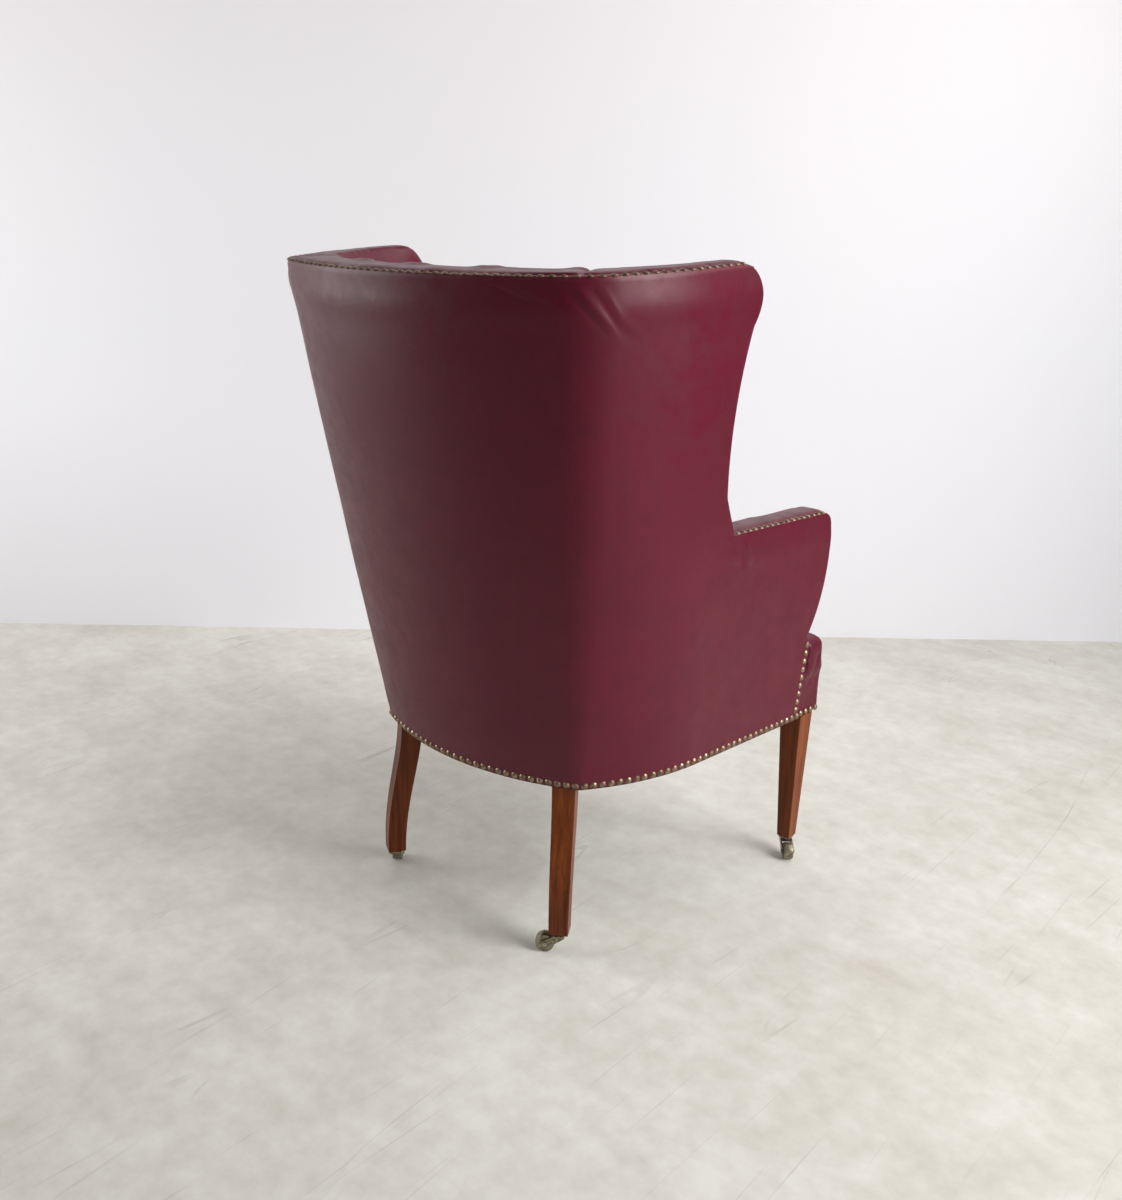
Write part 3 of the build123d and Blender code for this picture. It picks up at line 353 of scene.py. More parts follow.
def metalGroup():
    # Metal with a patchy patina: clean colour where rubbed, dull where not
    group, given, out = newGroup("agedMetal", [
        ("Vector", "Vector", None), ("Clean", "Color", (0.6, 0.42, 0.2, 1)),
        ("Patina", "Color", (0.12, 0.08, 0.05, 1)), ("Cover", "Float", 0.5), ("Scale", "Float", 160.0),
    ], [("Color", "Color"), ("Roughness", "Float"), ("Height", "Float")])
    patch = noise(group, given["Vector"], given["Scale"], 5, 0.6)
    cover = maths(group, "MULTIPLY", mapRange(group, patch, (0.35, 0.65)), given["Cover"])
    feed(group, out, {
        "Color": mixColors(group, cover, given["Clean"], given["Patina"]),
        "Roughness": mapRange(group, cover, (0, 1), (0.27, 0.62)), "Height": patch})
    return group


def weaveGroup():
    # Plain weave of threads in two directions, with slubs
    group, given, out = newGroup("clothWeave", [
        ("Vector", "Vector", None), ("Thread", "Color", (0.5, 0.4, 0.25, 1)),
        ("Gap", "Color", (0.2, 0.15, 0.08, 1)), ("Pitch", "Float", 500.0),
    ], [("Color", "Color"), ("Height", "Float")])
    warp, weft = [addNode(group, "ShaderNodeTexWave", {
        "Vector": given["Vector"], "Scale": given["Pitch"], "Distortion": 1.2, "Detail": 1,
    }, wave_type="BANDS", bands_direction=way).outputs["Fac"] for way in "XY"]
    top = maths(group, "MAXIMUM", warp, weft)
    feed(group, out, {"Color": mixColors(group, top, given["Gap"], given["Thread"]), "Height": top})
    return group


def finish(name, group, values, shader, bump, rubSheenAttribute=None):
    # A material: a shared group on Object coordinates feeding the Principled shader and its bump
    material, tree, principled = newMaterial(name)
    values["Vector"] = addNode(tree, "ShaderNodeTexCoord").outputs["Object"]
    if rubSheenAttribute:
        values["Rub"] = addNode(tree, "ShaderNodeAttribute", attribute_name=rubSheenAttribute).outputs["Fac"]
    surface = addNode(tree, "ShaderNodeGroup", values, node_tree=group)
    relief = addNode(tree, "ShaderNodeBump", {
        "Height": surface.outputs["Height"], "Strength": bump[0], "Distance": bump[1]})
    if "Roughness" in surface.outputs:
        feed(tree, principled, {"Roughness": surface.outputs["Roughness"]})
    feed(tree, principled, {"Base Color": surface.outputs["Color"], "Normal": relief.outputs["Normal"]})
    feed(tree, principled, shader)
    return material


timbers = {
    # light and dark colour, contrast, shader, bump strength and distance
    "mahoganyPolish": (
        (0.29, 0.072, 0.014, 1), (0.070, 0.013, 0.0035, 1), 0.75,
        {"Coat Weight": 0.08, "Coat Roughness": 0.18, "Specular IOR Level": 0.12}, (0.15, 0.0006)),
    "sawnBeech": (
        (0.52, 0.36, 0.21, 1), (0.34, 0.22, 0.12, 1), 0.9, {"Specular IOR Level": 0.3}, (0.25, 0.0008)),
}
metals = {
    # clean and patina colour, cover, scale of the patches, metallic, bump strength and distance
    "nailBrass": ((0.41, 0.305, 0.20, 1), (0.075, 0.048, 0.032, 1), 0.88, 110.0, 0.95, (0.2, 0.0005)),
    "casterBrass": ((0.33, 0.28, 0.19, 1), (0.085, 0.078, 0.058, 1), 0.85, 220.0, 0.9, (0.3, 0.0008)),
    "wheelBrass": ((0.36, 0.31, 0.22, 1), (0.095, 0.088, 0.066, 1), 0.85, 180.0, 0.88, (0.35, 0.0008)),
    "dullSteel": ((0.4, 0.38, 0.35, 1), (0.14, 0.12, 0.1, 1), 0.6, 260.0, 1.0, (0.2, 0.0005)),
    "springWire": ((0.5, 0.3, 0.18, 1), (0.16, 0.1, 0.07, 1), 0.6, 200.0, 1.0, (0.2, 0.0005)),
}
weaves = {
    # thread and gap colour, pitch, roughness, bump strength and distance
    "wadding": ((0.7, 0.65, 0.52, 1), (0.5, 0.45, 0.35, 1), 240.0, 0.95, (0.4, 0.001)),
    "juteWebbing": ((0.45, 0.34, 0.2, 1), (0.2, 0.14, 0.08, 1), 260.0, 0.9, (0.5, 0.001)),
    "hessianCanvas": ((0.52, 0.4, 0.25, 1), (0.24, 0.17, 0.1, 1), 420.0, 0.9, (0.5, 0.001)),
    "dustCloth": ((0.025, 0.022, 0.022, 1), (0.008, 0.007, 0.007, 1), 700.0, 0.95, (0.4, 0.0006)),
}
# paler colour along the rim: rub wear and a painted highlight
hide = {"Base": (0.108, 0.0010, 0.0150, 1), "Rubbed": (0.16, 0.03, 0.04, 1), "Grain": 0.3}
hideSurface = leatherGroup()
finishes = {name: finish(name, hideSurface, dict(hide, Mottle=mottle), {"Specular IOR Level": 0.33},
                         (0.13, 0.001), "rubbed")
            for name, mottle in (("oxbloodLeather", 0.22), ("oxbloodPads", 0.25))}
timberSurface = woodGroup()
for name, (light, dark, contrast, shader, bump) in timbers.items():
    values = {"Light": light, "Dark": dark, "Contrast": contrast}
    finishes[name] = finish(name, timberSurface, values, shader, bump)
agedMetal = metalGroup()
for name, (clean, patina, cover, scale, metallic, bump) in metals.items():
    values = {"Clean": clean, "Patina": patina, "Cover": cover, "Scale": scale}
    finishes[name] = finish(name, agedMetal, values, {"Metallic": metallic}, bump)
clothWeave = weaveGroup()
for name, (thread, gap, pitch, roughness, bump) in weaves.items():
    values = {"Thread": thread, "Gap": gap, "Pitch": pitch}
    finishes[name] = finish(name, clothWeave, values, {"Roughness": roughness}, bump)
slotFinish = {
    "leather": "oxbloodPads", "nail_brass": "nailBrass", "mahogany": "mahoganyPolish",
    "frame_timber": "sawnBeech", "wadding": "wadding", "webbing": "juteWebbing", "canvas": "hessianCanvas",
    "spring_steel": "springWire", "dust_cloth": "dustCloth", "caster_brass": "casterBrass",
    "caster_wheel": "wheelBrass", "steel": "dullSteel",
}
for entry in record["subparts"]:
    node = nodes[entry["node"]]
    node.data.materials.clear()
    node.data.materials.append(finishes[slotFinish[entry["material_slot"]]])
print("finishes done")

# Outside leather: one hide round the back, wings and arms

shell = {
    # height, depth of the back centre, then radius and turn in degrees of three bends
    "levels": [
        (0.293, 0.237, ((0.488, 26), (0.035, 28), (0.414, 30))),
        (0.690, 0.307, ((0.615, 23), (0.100, 37), (0.370, 28.5))),
        (1.120, 0.377, ((0.750, 22), (0.107, 47), (0.514, 18))),
    ],
    "frontEnd": -0.428,
    "rimHeight": 1.081, "rimSlope": 2.86, "rimBack": 0.377,
    "wingFront": (-0.014, 1.012), "wingRadius": 0.044,
    "wingWaist": (0.001, 0.850), "wingRoot": (-0.009, 0.753),
    "armRoot": (-0.044, 0.688), "armTip": (-0.346, 0.676), "armTipRadius": 0.026, "armFront": (-0.353, 0.590),
    "armThroat": (-0.311, 0.452), "skirtTop": (-0.321, 0.424), "skirtFoot": -0.303, "bottom": 0.293,
    "round": 0.0022,  # radius of the turned edge
    "shoulder": ((0.0022, 0.008, 2.0), (0.0021, 0.040, 1.5)),  # draw-in, height, power, added up
    "bulge": (0.0014, 0.046, 0.022), "armShare": 0.6,  # height, middle below the rim, width
    "ledge": 0.0145, "frontTurn": 0.0075, "skirtTurn": 0.0025,
    "tuck": 0.006, "tuckIn": ((0.0012, 0.4), (0.0016, 1)),  # behind the pads: gap and share of the depth
    "rowsLow": 110, "rowsHigh": 112, "columnsArm": 84, "columnsBack": 190,
    "rowEaseLow": 1.3, "rowEaseHigh": 1.5,  # closer rows near the arm top and the rim
    "edgeEaseArm": 12, "edgeEaseWing": 30,  # shares of the columns that follow the front edge, inverted
    "holdWidth": 0.03, "holdBottom": 0.012,  # the relief fades out this near an edge
    "swells": (0.0007, 0.0003), "deepest": -0.0018,  # never down to the wadding
    "foldFade": 0.55, "shoulderFade": 0.04, "shoulderFoot": 0.02, "armBelow": 0.7,
    # the pale band along the rim is rub wear and a painted highlight
    "weld": 0.00005, "rub": 0.8, "rubSheenWidth": 0.006,  # rubbed pale along the rim
    # hem under the rails: how far in and how far up
    "hem": ((0.0006, 0.0002), (0.002, 0.0), (0.0055, 0.0002)),
    # strained folds: side (-1 the sitter's right), plan coordinate and height at both ends, height, width
    "folds": [
        (-1, 3.215, 0.668, 3.235, 0.632, -0.0016, 0.012),
        (-1, 3.245, 0.672, 3.275, 0.630, 0.0016, 0.016),
        (-1, 3.17, 0.665, 3.19, 0.640, 0.0010, 0.020),
        (-1, 1.02, 1.078, 1.66, 1.022, -0.0010, 0.085),
        (-1, 1.22, 1.080, 1.86, 1.018, 0.0011, 0.085),
        (-1, 1.45, 1.079, 2.04, 1.010, -0.0009, 0.070),
        (-1, 1.66, 1.078, 2.10, 1.020, 0.0006, 0.060),
        (-1, 0.62, 1.076, 0.86, 1.050, -0.0010, 0.030),
        (-1, 0.78, 1.075, 1.02, 1.046, 0.0010, 0.030),
        (1, 1.10, 1.078, 1.60, 1.030, 0.0014, 0.080),
        (1, 1.30, 1.076, 1.80, 1.020, -0.0013, 0.080),
        (1, 3.215, 0.668, 3.235, 0.632, -0.0016, 0.012),
    ],
}


def smoothStep(value, low, high):
    t = np.clip((value - low) / (high - low), 0, 1)
    return t * t * (3 - 2 * t)


def bell(values, height, place, width):
    # A bell of a given height and width round a place
    return height * np.exp(-(((values - place) / width) ** 2))


def unit(vectors):
    return vectors / np.maximum(np.linalg.norm(vectors, axis=-1, keepdims=True), 1e-12)


def planHalf(c, z):
    # Left half of the outside plan: c runs 0 to 3 along the three bends and 3 to 4 along the straight side.
    # Each level is arcs walked from the back centre; between them runs a parabola through all three
    c = np.asarray(c, float)
    z = np.asarray(z, float)
    places = []
    for height, back, bends in shell["levels"]:
        x0, y0, heading = 0.0, back, 0.0
        x = np.zeros(np.broadcast(c, z).shape)
        y = np.zeros_like(x)
        for step, (r, turn) in enumerate(bends):
            cx, cy = x0 - r * np.sin(np.radians(heading)), y0 - r * np.cos(np.radians(heading))
            angle = np.radians(heading + turn * np.clip(c - step, 0, 1))
            here = (c >= step) & (c <= step + 1)
            x = np.where(here, cx + r * np.sin(angle), x)
            y = np.where(here, cy + r * np.cos(angle), y)
            heading += turn
            x0, y0 = cx + r * np.sin(np.radians(heading)), cy + r * np.cos(np.radians(heading))
        share = np.clip(c - 3, 0, 1)
        run = (y0 - shell["frontEnd"]) / np.sin(np.radians(heading))
        x = np.where(c > 3, x0 + run * np.cos(np.radians(heading)) * share, x)
        y = np.where(c > 3, y0 - run * np.sin(np.radians(heading)) * share, y)
        places.append((x, y))
    low, middle, high = [level[0] for level in shell["levels"]]
    t = (z - low) / (high - low)
    m = (middle - low) / (high - low)
    weights = ((t - m) * (t - 1) / m, t * (t - 1) / (m * (m - 1)), t * (t - m) / (1 - m))
    x = sum(w * p[0] for w, p in zip(weights, places))
    y = sum(w * p[1] for w, p in zip(weights, places))
    return x, y


def coordAtDepth(y, z, low=0.6, high=4.0):
    # Plan coordinate c where the side passes depth y at height z, by halving
    y, z = np.broadcast_arrays(np.asarray(y, float), np.asarray(z, float))
    a, b = np.full(y.shape, low), np.full(y.shape, high)
    for _ in range(26):
        mid = (a + b) / 2
        ahead = planHalf(mid, z)[1] > y
        a, b = np.where(ahead, mid, a), np.where(ahead, b, mid)
    return (a + b) / 2


def arcThrough(p0, p1, p2, count):
    # Points on the circle through three points of the side view, from the first to the last
    (ax, ay), (bx, by), (cx, cy) = p0, p1, p2
    d = 2 * (ax * (by - cy) + bx * (cy - ay) + cx * (ay - by))
    ux = ((ax**2 + ay**2) * (by - cy) + (bx**2 + by**2) * (cy - ay) + (cx**2 + cy**2) * (ay - by)) / d
    uy = ((ax**2 + ay**2) * (cx - bx) + (bx**2 + by**2) * (ax - cx) + (cx**2 + cy**2) * (bx - ax)) / d
    r = np.hypot(ax - ux, ay - uy)
    start = np.arctan2(ay - uy, ax - ux)
    mid = (np.arctan2(by - uy, bx - ux) - start + np.pi) % (2 * np.pi) - np.pi
    end = (np.arctan2(cy - uy, cx - ux) - start + np.pi) % (2 * np.pi) - np.pi
    if mid * end < 0:
        end += 2 * np.pi * np.sign(mid)
    angle = start + end * np.linspace(0, 1, count)
    return np.stack([ux + r * np.cos(angle), uy + r * np.sin(angle)], 1)


def rimAt(y):
    return shell["rimHeight"] + (shell["rimBack"] - y) * np.tan(np.radians(shell["rimSlope"]))


def armTopAt(y):
    (rootY, rootZ), (tipY, tipZ) = shell["armRoot"], shell["armTip"]
    return rootZ + (y - rootY) * (rootZ - tipZ) / (rootY - tipY - shell["armTipRadius"])


def shoulderAt(drop):
    # Draw-in of the stuffed shoulder at a drop below the rim: steep roundings less the bulge under them
    total = 0 * drop
    for amount, height, power in shell["shoulder"]:
        total = total + amount * np.clip(1 - drop / height, 0, 1) ** power
    return total - bell(drop, *shell["bulge"])


def sideEdges(e):
    # Front edges of the side view, drawn in by e: lines of depth and height, first up to the arm top and then
    # from there to the wing tip
    tipY, tipZ, r = shell["armTip"][0] + e, shell["armTip"][1] - e, shell["armTipRadius"] - e
    bend = r * (1 - np.cos(np.pi / 4))
    low = [[(shell["skirtFoot"] + e, shell["bottom"]), (shell["skirtTop"][0] + e, shell["skirtTop"][1])]]
    throat = (shell["armThroat"][0] + e, shell["armThroat"][1])
    low.append(arcThrough(throat, (shell["armFront"][0] + e, shell["armFront"][1]), (tipY, tipZ - r), 60))
    low.append(arcThrough((tipY, tipZ - r), (tipY + bend, tipZ - bend), (tipY + r, tipZ), 24)[1:])
    edge, wr = shell["wingFront"][0] + e, shell["wingRadius"] - e
    wingBend = wr * (1 - np.cos(np.pi / 4))
    root = (shell["armRoot"][0] + e, shell["armRoot"][1] - e)
    wingFoot = (shell["wingRoot"][0] + e, shell["wingRoot"][1])
    shoulder = (edge, shell["wingFront"][1])
    high = [[root, wingFoot]]
    high.append(arcThrough(wingFoot, (shell["wingWaist"][0] + e, shell["wingWaist"][1]), shoulder, 40)[1:])
    high.append(arcThrough(shoulder, (edge + wingBend, rimAt(edge) - e - wingBend),
                           (edge + wr, rimAt(edge + wr) - e), 40)[1:])
    return np.concatenate([np.array(p) for p in low]), np.concatenate([np.array(p) for p in high])


def hideRelief(side, c, y, z):
    # How far the leather stands off its smooth shape: strained folds and soft swells.
    # Each fold is a bell across a slanting line, faded along it
    relief = np.zeros(c.shape)
    for foldSide, c0, z0, c1, z1, height, width in shell["folds"]:
        along = np.clip((z - z0) / (z1 - z0), -1, 2)
        line = c0 + (c1 - c0) * along
        fade = np.exp(-(((along - 0.5) / shell["foldFade"]) ** 4))
        relief += (side == foldSide) * fade * bell(c, height, line, width)
    x = side * planHalf(c, z)[0]
    broad, fine = shell["swells"]
    relief += broad * np.sin(9 * z + 6 * x + 1.3) * np.sin(13 * z - 7 * y + 2.0)
    relief += fine * np.sin(23 * z - 14 * x + 17 * y) * np.sin(19 * y + 12 * z + 9 * x)
    return np.maximum(relief, shell["deepest"])


def gridFaces(rows, columns, start=0):
    # Quads of a grid, numbered row by row
    r, k = np.meshgrid(np.arange(rows - 1), np.arange(columns - 1), indexing="ij")
    a = start + r * columns + k
    return np.stack([a, a + 1, a + columns + 1, a + columns], -1).reshape(-1, 4)


def surfaceNormals(points):
    # Unit normals of a grid of points, from the cross product of its two directions
    return unit(np.cross(np.gradient(points, axis=1), np.gradient(points, axis=0)))


def hidePatch(coords, heights):
    # A grid that goes round from the sitter's right front edge to the left one, with its outward normals
    x, y = planHalf(coords, heights)
    right = np.stack([-x, y, heights], -1)
    left = np.stack([x, y, heights], -1)[:, ::-1]
    points = np.concatenate([right, left[:, 1:]], 1)
    sides = np.concatenate([-np.ones(coords.shape), np.ones((coords.shape[0], coords.shape[1] - 1))], 1)
    fullCoords = np.concatenate([coords, coords[:, ::-1][:, 1:]], 1)
    normal = surfaceNormals(points)
    middle = normal[:, points.shape[1] // 2]
    if middle[:, 1].mean() < 0:
        normal = -normal
    return points, normal, sides, fullCoords


def buildOutsideLeather():
    e = shell["round"]
    lowEdge, highEdge = sideEdges(e)
    rootY, rootZ = highEdge[0]
    armTop = lambda y: armTopAt(y) - e
    rowsLow, rowsHigh = shell["rowsLow"], shell["rowsHigh"]
    v = 1 - (1 - np.linspace(0, 1, rowsLow)[:, None]) ** shell["rowEaseLow"]
    w = 1 - (1 - np.linspace(0, 1, rowsHigh)[:, None]) ** shell["rowEaseHigh"]
    a = np.linspace(0, 1, shell["columnsArm"])[None, :]
    b = np.linspace(0, 1, shell["columnsBack"])[None, :]
    bottom = shell["bottom"]
    # arms: from the front edge back to the line under the wing's root, up to the sloping arm top
    frontZ = bottom + v * (armTop(lowEdge[-1, 0]) - bottom)
    front = coordAtDepth(np.interp(frontZ, lowEdge[:, 1], lowEdge[:, 0]), frontZ)
    divide = coordAtDepth(rootY, bottom + v * (rootZ - bottom))
    cArm = front + (divide - front) * a
    zArm = frontZ + 0 * a
    for _ in range(4):
        zArm = bottom + v * (np.minimum(armTop(planHalf(cArm, zArm)[1]), rootZ) - bottom)
        zArm = zArm + (frontZ - zArm) * (1 - np.clip(a * shell["edgeEaseArm"], 0, 1))
    # behind them: from that line round to the back centre, up to the wing's root
    zBack = bottom + v * (rootZ - bottom) + 0 * b
    cBack = coordAtDepth(rootY, zBack) * (1 - b)
    # wings and upper back: from the wing's front edge to the back centre, up to the sloping rim
    frontZ = rootZ + w * (highEdge[-1, 1] - rootZ)
    cHigh = coordAtDepth(np.interp(frontZ, highEdge[:, 1], highEdge[:, 0]), frontZ) * (1 - b)
    zHigh = frontZ + 0 * b
    for _ in range(4):
        zHigh = rootZ + w * (rimAt(planHalf(cHigh, zHigh)[1]) - e - rootZ)
        zHigh = zHigh + (frontZ - zHigh) * (1 - np.clip(b * shell["edgeEaseWing"], 0, 1))
    cLow = np.concatenate([cArm, cBack[:, 1:]], 1)
    zLow = np.concatenate([zArm, zBack[:, 1:]], 1)
    lowPoints, lowNormals, lowSides, lowCoords = hidePatch(cLow, zLow)
    highPoints, highNormals, highSides, highCoords = hidePatch(cHigh, zHigh)

    def lifted(points, normals, sides, coords):
        y, z = points[..., 1], points[..., 2]
        onArm = (y < rootY) & (z < shell["armBelow"])
        edgeLow = np.interp(z, lowEdge[:, 1], lowEdge[:, 0])
        edgeHigh = np.interp(z, highEdge[:, 1], highEdge[:, 0])
        edge = np.where(z < rootZ, edgeLow, edgeHigh)
        hold = 1
        for distance in (rimAt(y) - z, z - bottom - shell["holdBottom"], y - edge):
            hold = hold * np.clip(distance / shell["holdWidth"], 0, 1)
        hold = hold * np.where(onArm, np.clip((armTopAt(y) - z) / shell["holdWidth"], 0, 1), 1)
        hold = smoothStep(hold, 0, 1)
        drop = np.where(onArm, armTopAt(y) - z, rimAt(y) - z)
        onSide = smoothStep(rootY - y, 0, shell["shoulderFade"]) * shell["armShare"]
        reach = np.where(onArm, onSide, z > rootZ + shell["shoulderFoot"])
        move = hideRelief(sides, coords, y, z) * hold - shoulderAt(drop) * reach
        return points + normals * move[..., None]

    lowPoints = lifted(lowPoints, lowNormals, lowSides, lowCoords)
    highPoints = lifted(highPoints, highNormals, highSides, highCoords)

    # the free edge, from the right skirt's foot up, round the rim and down to the left skirt's foot
    patches, patchNormals = (lowPoints, highPoints), (lowNormals, highNormals)
    lastRows = (rowsLow - 1, rowsHigh - 1)
    lastColumns = (lowPoints.shape[1] - 1, highPoints.shape[1] - 1)
    rightPath = [(0, r, 0) for r in range(rowsLow)]
    rightPath += [(0, rowsLow - 1, k) for k in range(1, shell["columnsArm"])]
    rightPath += [(1, r, 0) for r in range(1, rowsHigh)]
    topPath = [(1, rowsHigh - 1, k) for k in range(1, lastColumns[1])]
    leftPath = [(p, r, lastColumns[p] - k) for p, r, k in reversed(rightPath)]
    path = rightPath + topPath + leftPath
    edgePoints = np.array([patches[p][r, k] for p, r, k in path])
    edgeNormals = np.array([patchNormals[p][r, k] for p, r, k in path])
    outward = unit(np.cross(np.gradient(edgePoints, axis=0), edgeNormals))
    if outward[len(path) // 2, 2] < 0:  # at the back centre it points up
        outward = -outward
    # smooth the directions along the edge so that the turned edge doesn't kink at its corners
    for _ in range(6):
        outward[1:-1] = (outward[:-2] + outward[1:-1] * 2 + outward[2:]) / 4
        outward = unit(outward)
    widths = []
    for p, r, k in path:
        if r == lastRows[p]:
            widths.append(shell["ledge"])
        elif p == 0 and lowPoints[r, k][2] < shell["skirtTop"][1]:
            widths.append(shell["skirtTurn"])
        else:
            widths.append(shell["frontTurn"])
    widths = np.array(widths)
    for _ in range(10):
        widths[1:-1] = (widths[:-2] + widths[1:-1] * 2 + widths[2:]) / 4
    # rings of the turned edge: round it, across the ledge and down behind the pads
    rings = [(e * (1 - np.cos(angle)) + 0 * widths, e * np.sin(angle))
             for angle in np.radians([0, 22.5, 45, 67.5, 90])]
    rings += [(e + (widths - e) * share, e) for share in (0.25, 0.5, 0.75, 1.0)]
    rings += [(widths + gap, e - shell["tuck"] * share) for gap, share in shell["tuckIn"]]
    strip = np.stack([edgePoints - edgeNormals * inward[:, None] + outward * out for inward, out in rings])
    # the bottom edge turns in under the rails
    foot = lowPoints[0]
    footNormals = unit(lowNormals[0] * (1, 1, 0))
    hem = [foot] + [foot - footNormals * inward + np.array([0, 0, up]) for inward, up in shell["hem"]]
    hem = np.stack(hem)
    points, faces, count = [], [], 0
    for grid in (lowPoints, highPoints, strip, hem):
        rows, columns = grid.shape[:2]
        points.append(grid.reshape(-1, 3))
        faces.append(gridFaces(rows, columns, count))
        count += rows * columns
    points = np.concatenate(points)
    faces = np.concatenate(faces)
    piece = meshObject("outsideLeather", points, faces.tolist())
    mesh = bmesh.new()
    mesh.from_mesh(piece.data)
    bmesh.ops.remove_doubles(mesh, verts=mesh.verts, dist=shell["weld"])
    bmesh.ops.recalc_face_normals(mesh, faces=mesh.faces)
    mesh.to_mesh(piece.data)
    mesh.free()
    # outward at the back centre
    probe = min(piece.data.polygons, key=lambda f: (f.center - Vector((0, 0.3, 0.7))).length)
    if probe.normal.y < 0:
        piece.data.flip_normals()
    return piece


def pointsOf(piece):
    values = np.empty(len(piece.data.vertices) * 3, np.float64)
    piece.data.vertices.foreach_get("co", values)
    return values.reshape(-1, 3)


def rubbedMask(piece, amount):
    # Vertex attribute for the leather: where it is paler from rub wear and painted highlight, from 0 to 1
    values = np.zeros(len(piece.data.vertices), np.float32)
    values[:] = amount(pointsOf(piece))
    piece.data.attributes.new("rubbed", "FLOAT", "POINT").data.foreach_set("value", values)


outsideLeather = buildOutsideLeather()
# paler leather along the rim: rub wear and a painted highlight
rubbedMask(outsideLeather, lambda p: np.clip(
    1 - np.abs(rimAt(p[:, 1]) - p[:, 2]) / shell["rubSheenWidth"], 0, 1) * shell["rub"])
outsideLeather.data.materials.append(finishes["oxbloodLeather"])
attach(outsideLeather, "chair")
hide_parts("outside_cover")
print("outside leather done", len(outsideLeather.data.polygons))

# Padded pieces: the CAD pads as voxels, blown up by a cloth simulation, then drawn in at buttons and seams

padding = {
    "voxel": 0.0055, "pressure": 4.0, "frames": 20, "cap": 0.007, "seatCap": 0.006,
    "fanCentre": -0.060, "fanTurn": 20.5, "buttonHeight": 0.575, "buttonPitch": 0.118, "buttonRows": 4,
    "pleatTop": 1.056, "buttonHold": 0.012,
    "seamApex": -0.268, "seamTurn": 27.7,
    "borderFront": -0.368, "borderBack": -0.286, "borderInset": 0.0023, "hem": 0.293, "rollFoot": 0.376,
    "skin": 0.0115, "frontSkin": 0.0095,  # what stays of the border when its hidden inside is taken away
    "bending": 2, "holdLevels": 4,
}
# spans over which a pad becomes free to swell
free = {
    "seatUp": (0.2, 0.7), "seatHigh": (0.40, 0.425), "seatForward": (0.3, 0.8), "seatFront": (0.355, 0.364),
    "seatFoot": (0.305, 0.33), "seatWidth": 0.335, "inward": (0.1, 0.6), "seam": (0.003, 0.02),
    "foot": (0.40, 0.46), "buttonReach": 0.04,
}
dressing = {
    # height, place and width of each bell, measured from its line, button or corner
    "pleat": (-0.0055, 0, 0.0055), "pleatRoll": (0.0022, 0.016, 0.012), "pleatLean": 0.165, "pleatRise": 0.06,
    "diagonal": (-0.0045, 0, 0.0075), "diagonalReach": 0.085,
    "pucker": (-0.0012, 0.014, 0.006), "puckerRays": 9,
    "backWave": (0.0005, ((23, 31, 27), (47, 29, 51)), ((0.4, 1.9), (2.2, 0.3))),
    "sideWave": (0.0008, ((19, 27, 23), (37, 45, 33))), "drag": 0.0005, "dragRate": 78,
    "hollowAcross": (-0.004, 0, 0.17), "hollowAlong": (1, -0.10, 0.15),
    "seatWave": (0.0007, ((21, 17, 25), (43, 39, 31)), ((0.9, 0.2), (1.4, 2.6))),
    "nailPucker": -0.0006, "nailPitch": 0.0149,
    "cornerFill": (0.0024, 0, 0.009), "tuck": (-0.0028, 0, 0.0045),
    # both ends of each tuck on the sitter's left ear
    "tucks": (((0.339, -0.352, 0.405), (0.330, -0.330, 0.352)),
              ((0.336, -0.371, 0.428), (0.339, -0.366, 0.385))),
}


def bake(piece):
    # Applies the modifiers and gives the piece the mesh they make
    graph = bpy.context.evaluated_depsgraph_get()
    mesh = bpy.data.meshes.new_from_object(piece.evaluated_get(graph))
    old = piece.data
    piece.modifiers.clear()
    piece.data = mesh
    mesh.name = piece.name
    bpy.data.meshes.remove(old)


def normalsOf(piece):
    values = np.empty(len(piece.data.vertices) * 3, np.float64)
    piece.data.vertices.foreach_get("normal", values)
    return values.reshape(-1, 3)


def movePoints(piece, points):
    piece.data.vertices.foreach_set("co", points.astype(np.float32).ravel())
    piece.data.update()


def voxelPiece(name, meshes, voxel, smoothing=4):
    # One closed, evenly divided mesh from one or more closed ones
    joined = bmesh.new()
    for mesh in meshes:
        joined.from_mesh(mesh)
    bmesh.ops.remove_doubles(joined, verts=joined.verts, dist=0.00002)
    mesh = bpy.data.meshes.new(name)
    joined.to_mesh(mesh)
    joined.free()
    piece = bpy.data.objects.new(name, mesh)
    bpy.context.scene.collection.objects.link(piece)
    voxels = piece.modifiers.new("voxels", "REMESH")
    voxels.mode = "VOXEL"
    voxels.voxel_size = voxel
    voxels.use_smooth_shade = True
    soften = piece.modifiers.new("soften", "SMOOTH")
    soften.factor = 0.5
    soften.iterations = smoothing
    bake(piece)
    return piece


def fromCentre(points):
    # Unit vectors from each point inwards to the upright line through the middle of the room
    return unit((np.array([0, padding["fanCentre"], 0]) - points) * (1, 1, 0))


def nearestOnSegments(points, segments):
    # Distance from each point to the nearest of some straight segments, and how far along that one it is
    best = np.full(len(points), 9.0)
    along = np.zeros(len(points))
    for start, end in segments:
        start, end = np.array(start), np.array(end)
        way = end - start
        t = np.clip(((points - start) @ way) / (way @ way), 0, 1)
        distance = np.linalg.norm(points - start - t[:, None] * way, axis=1)
        closer = distance < best
        best, along = np.where(closer, distance, best), np.where(closer, t, along)
    return best, along


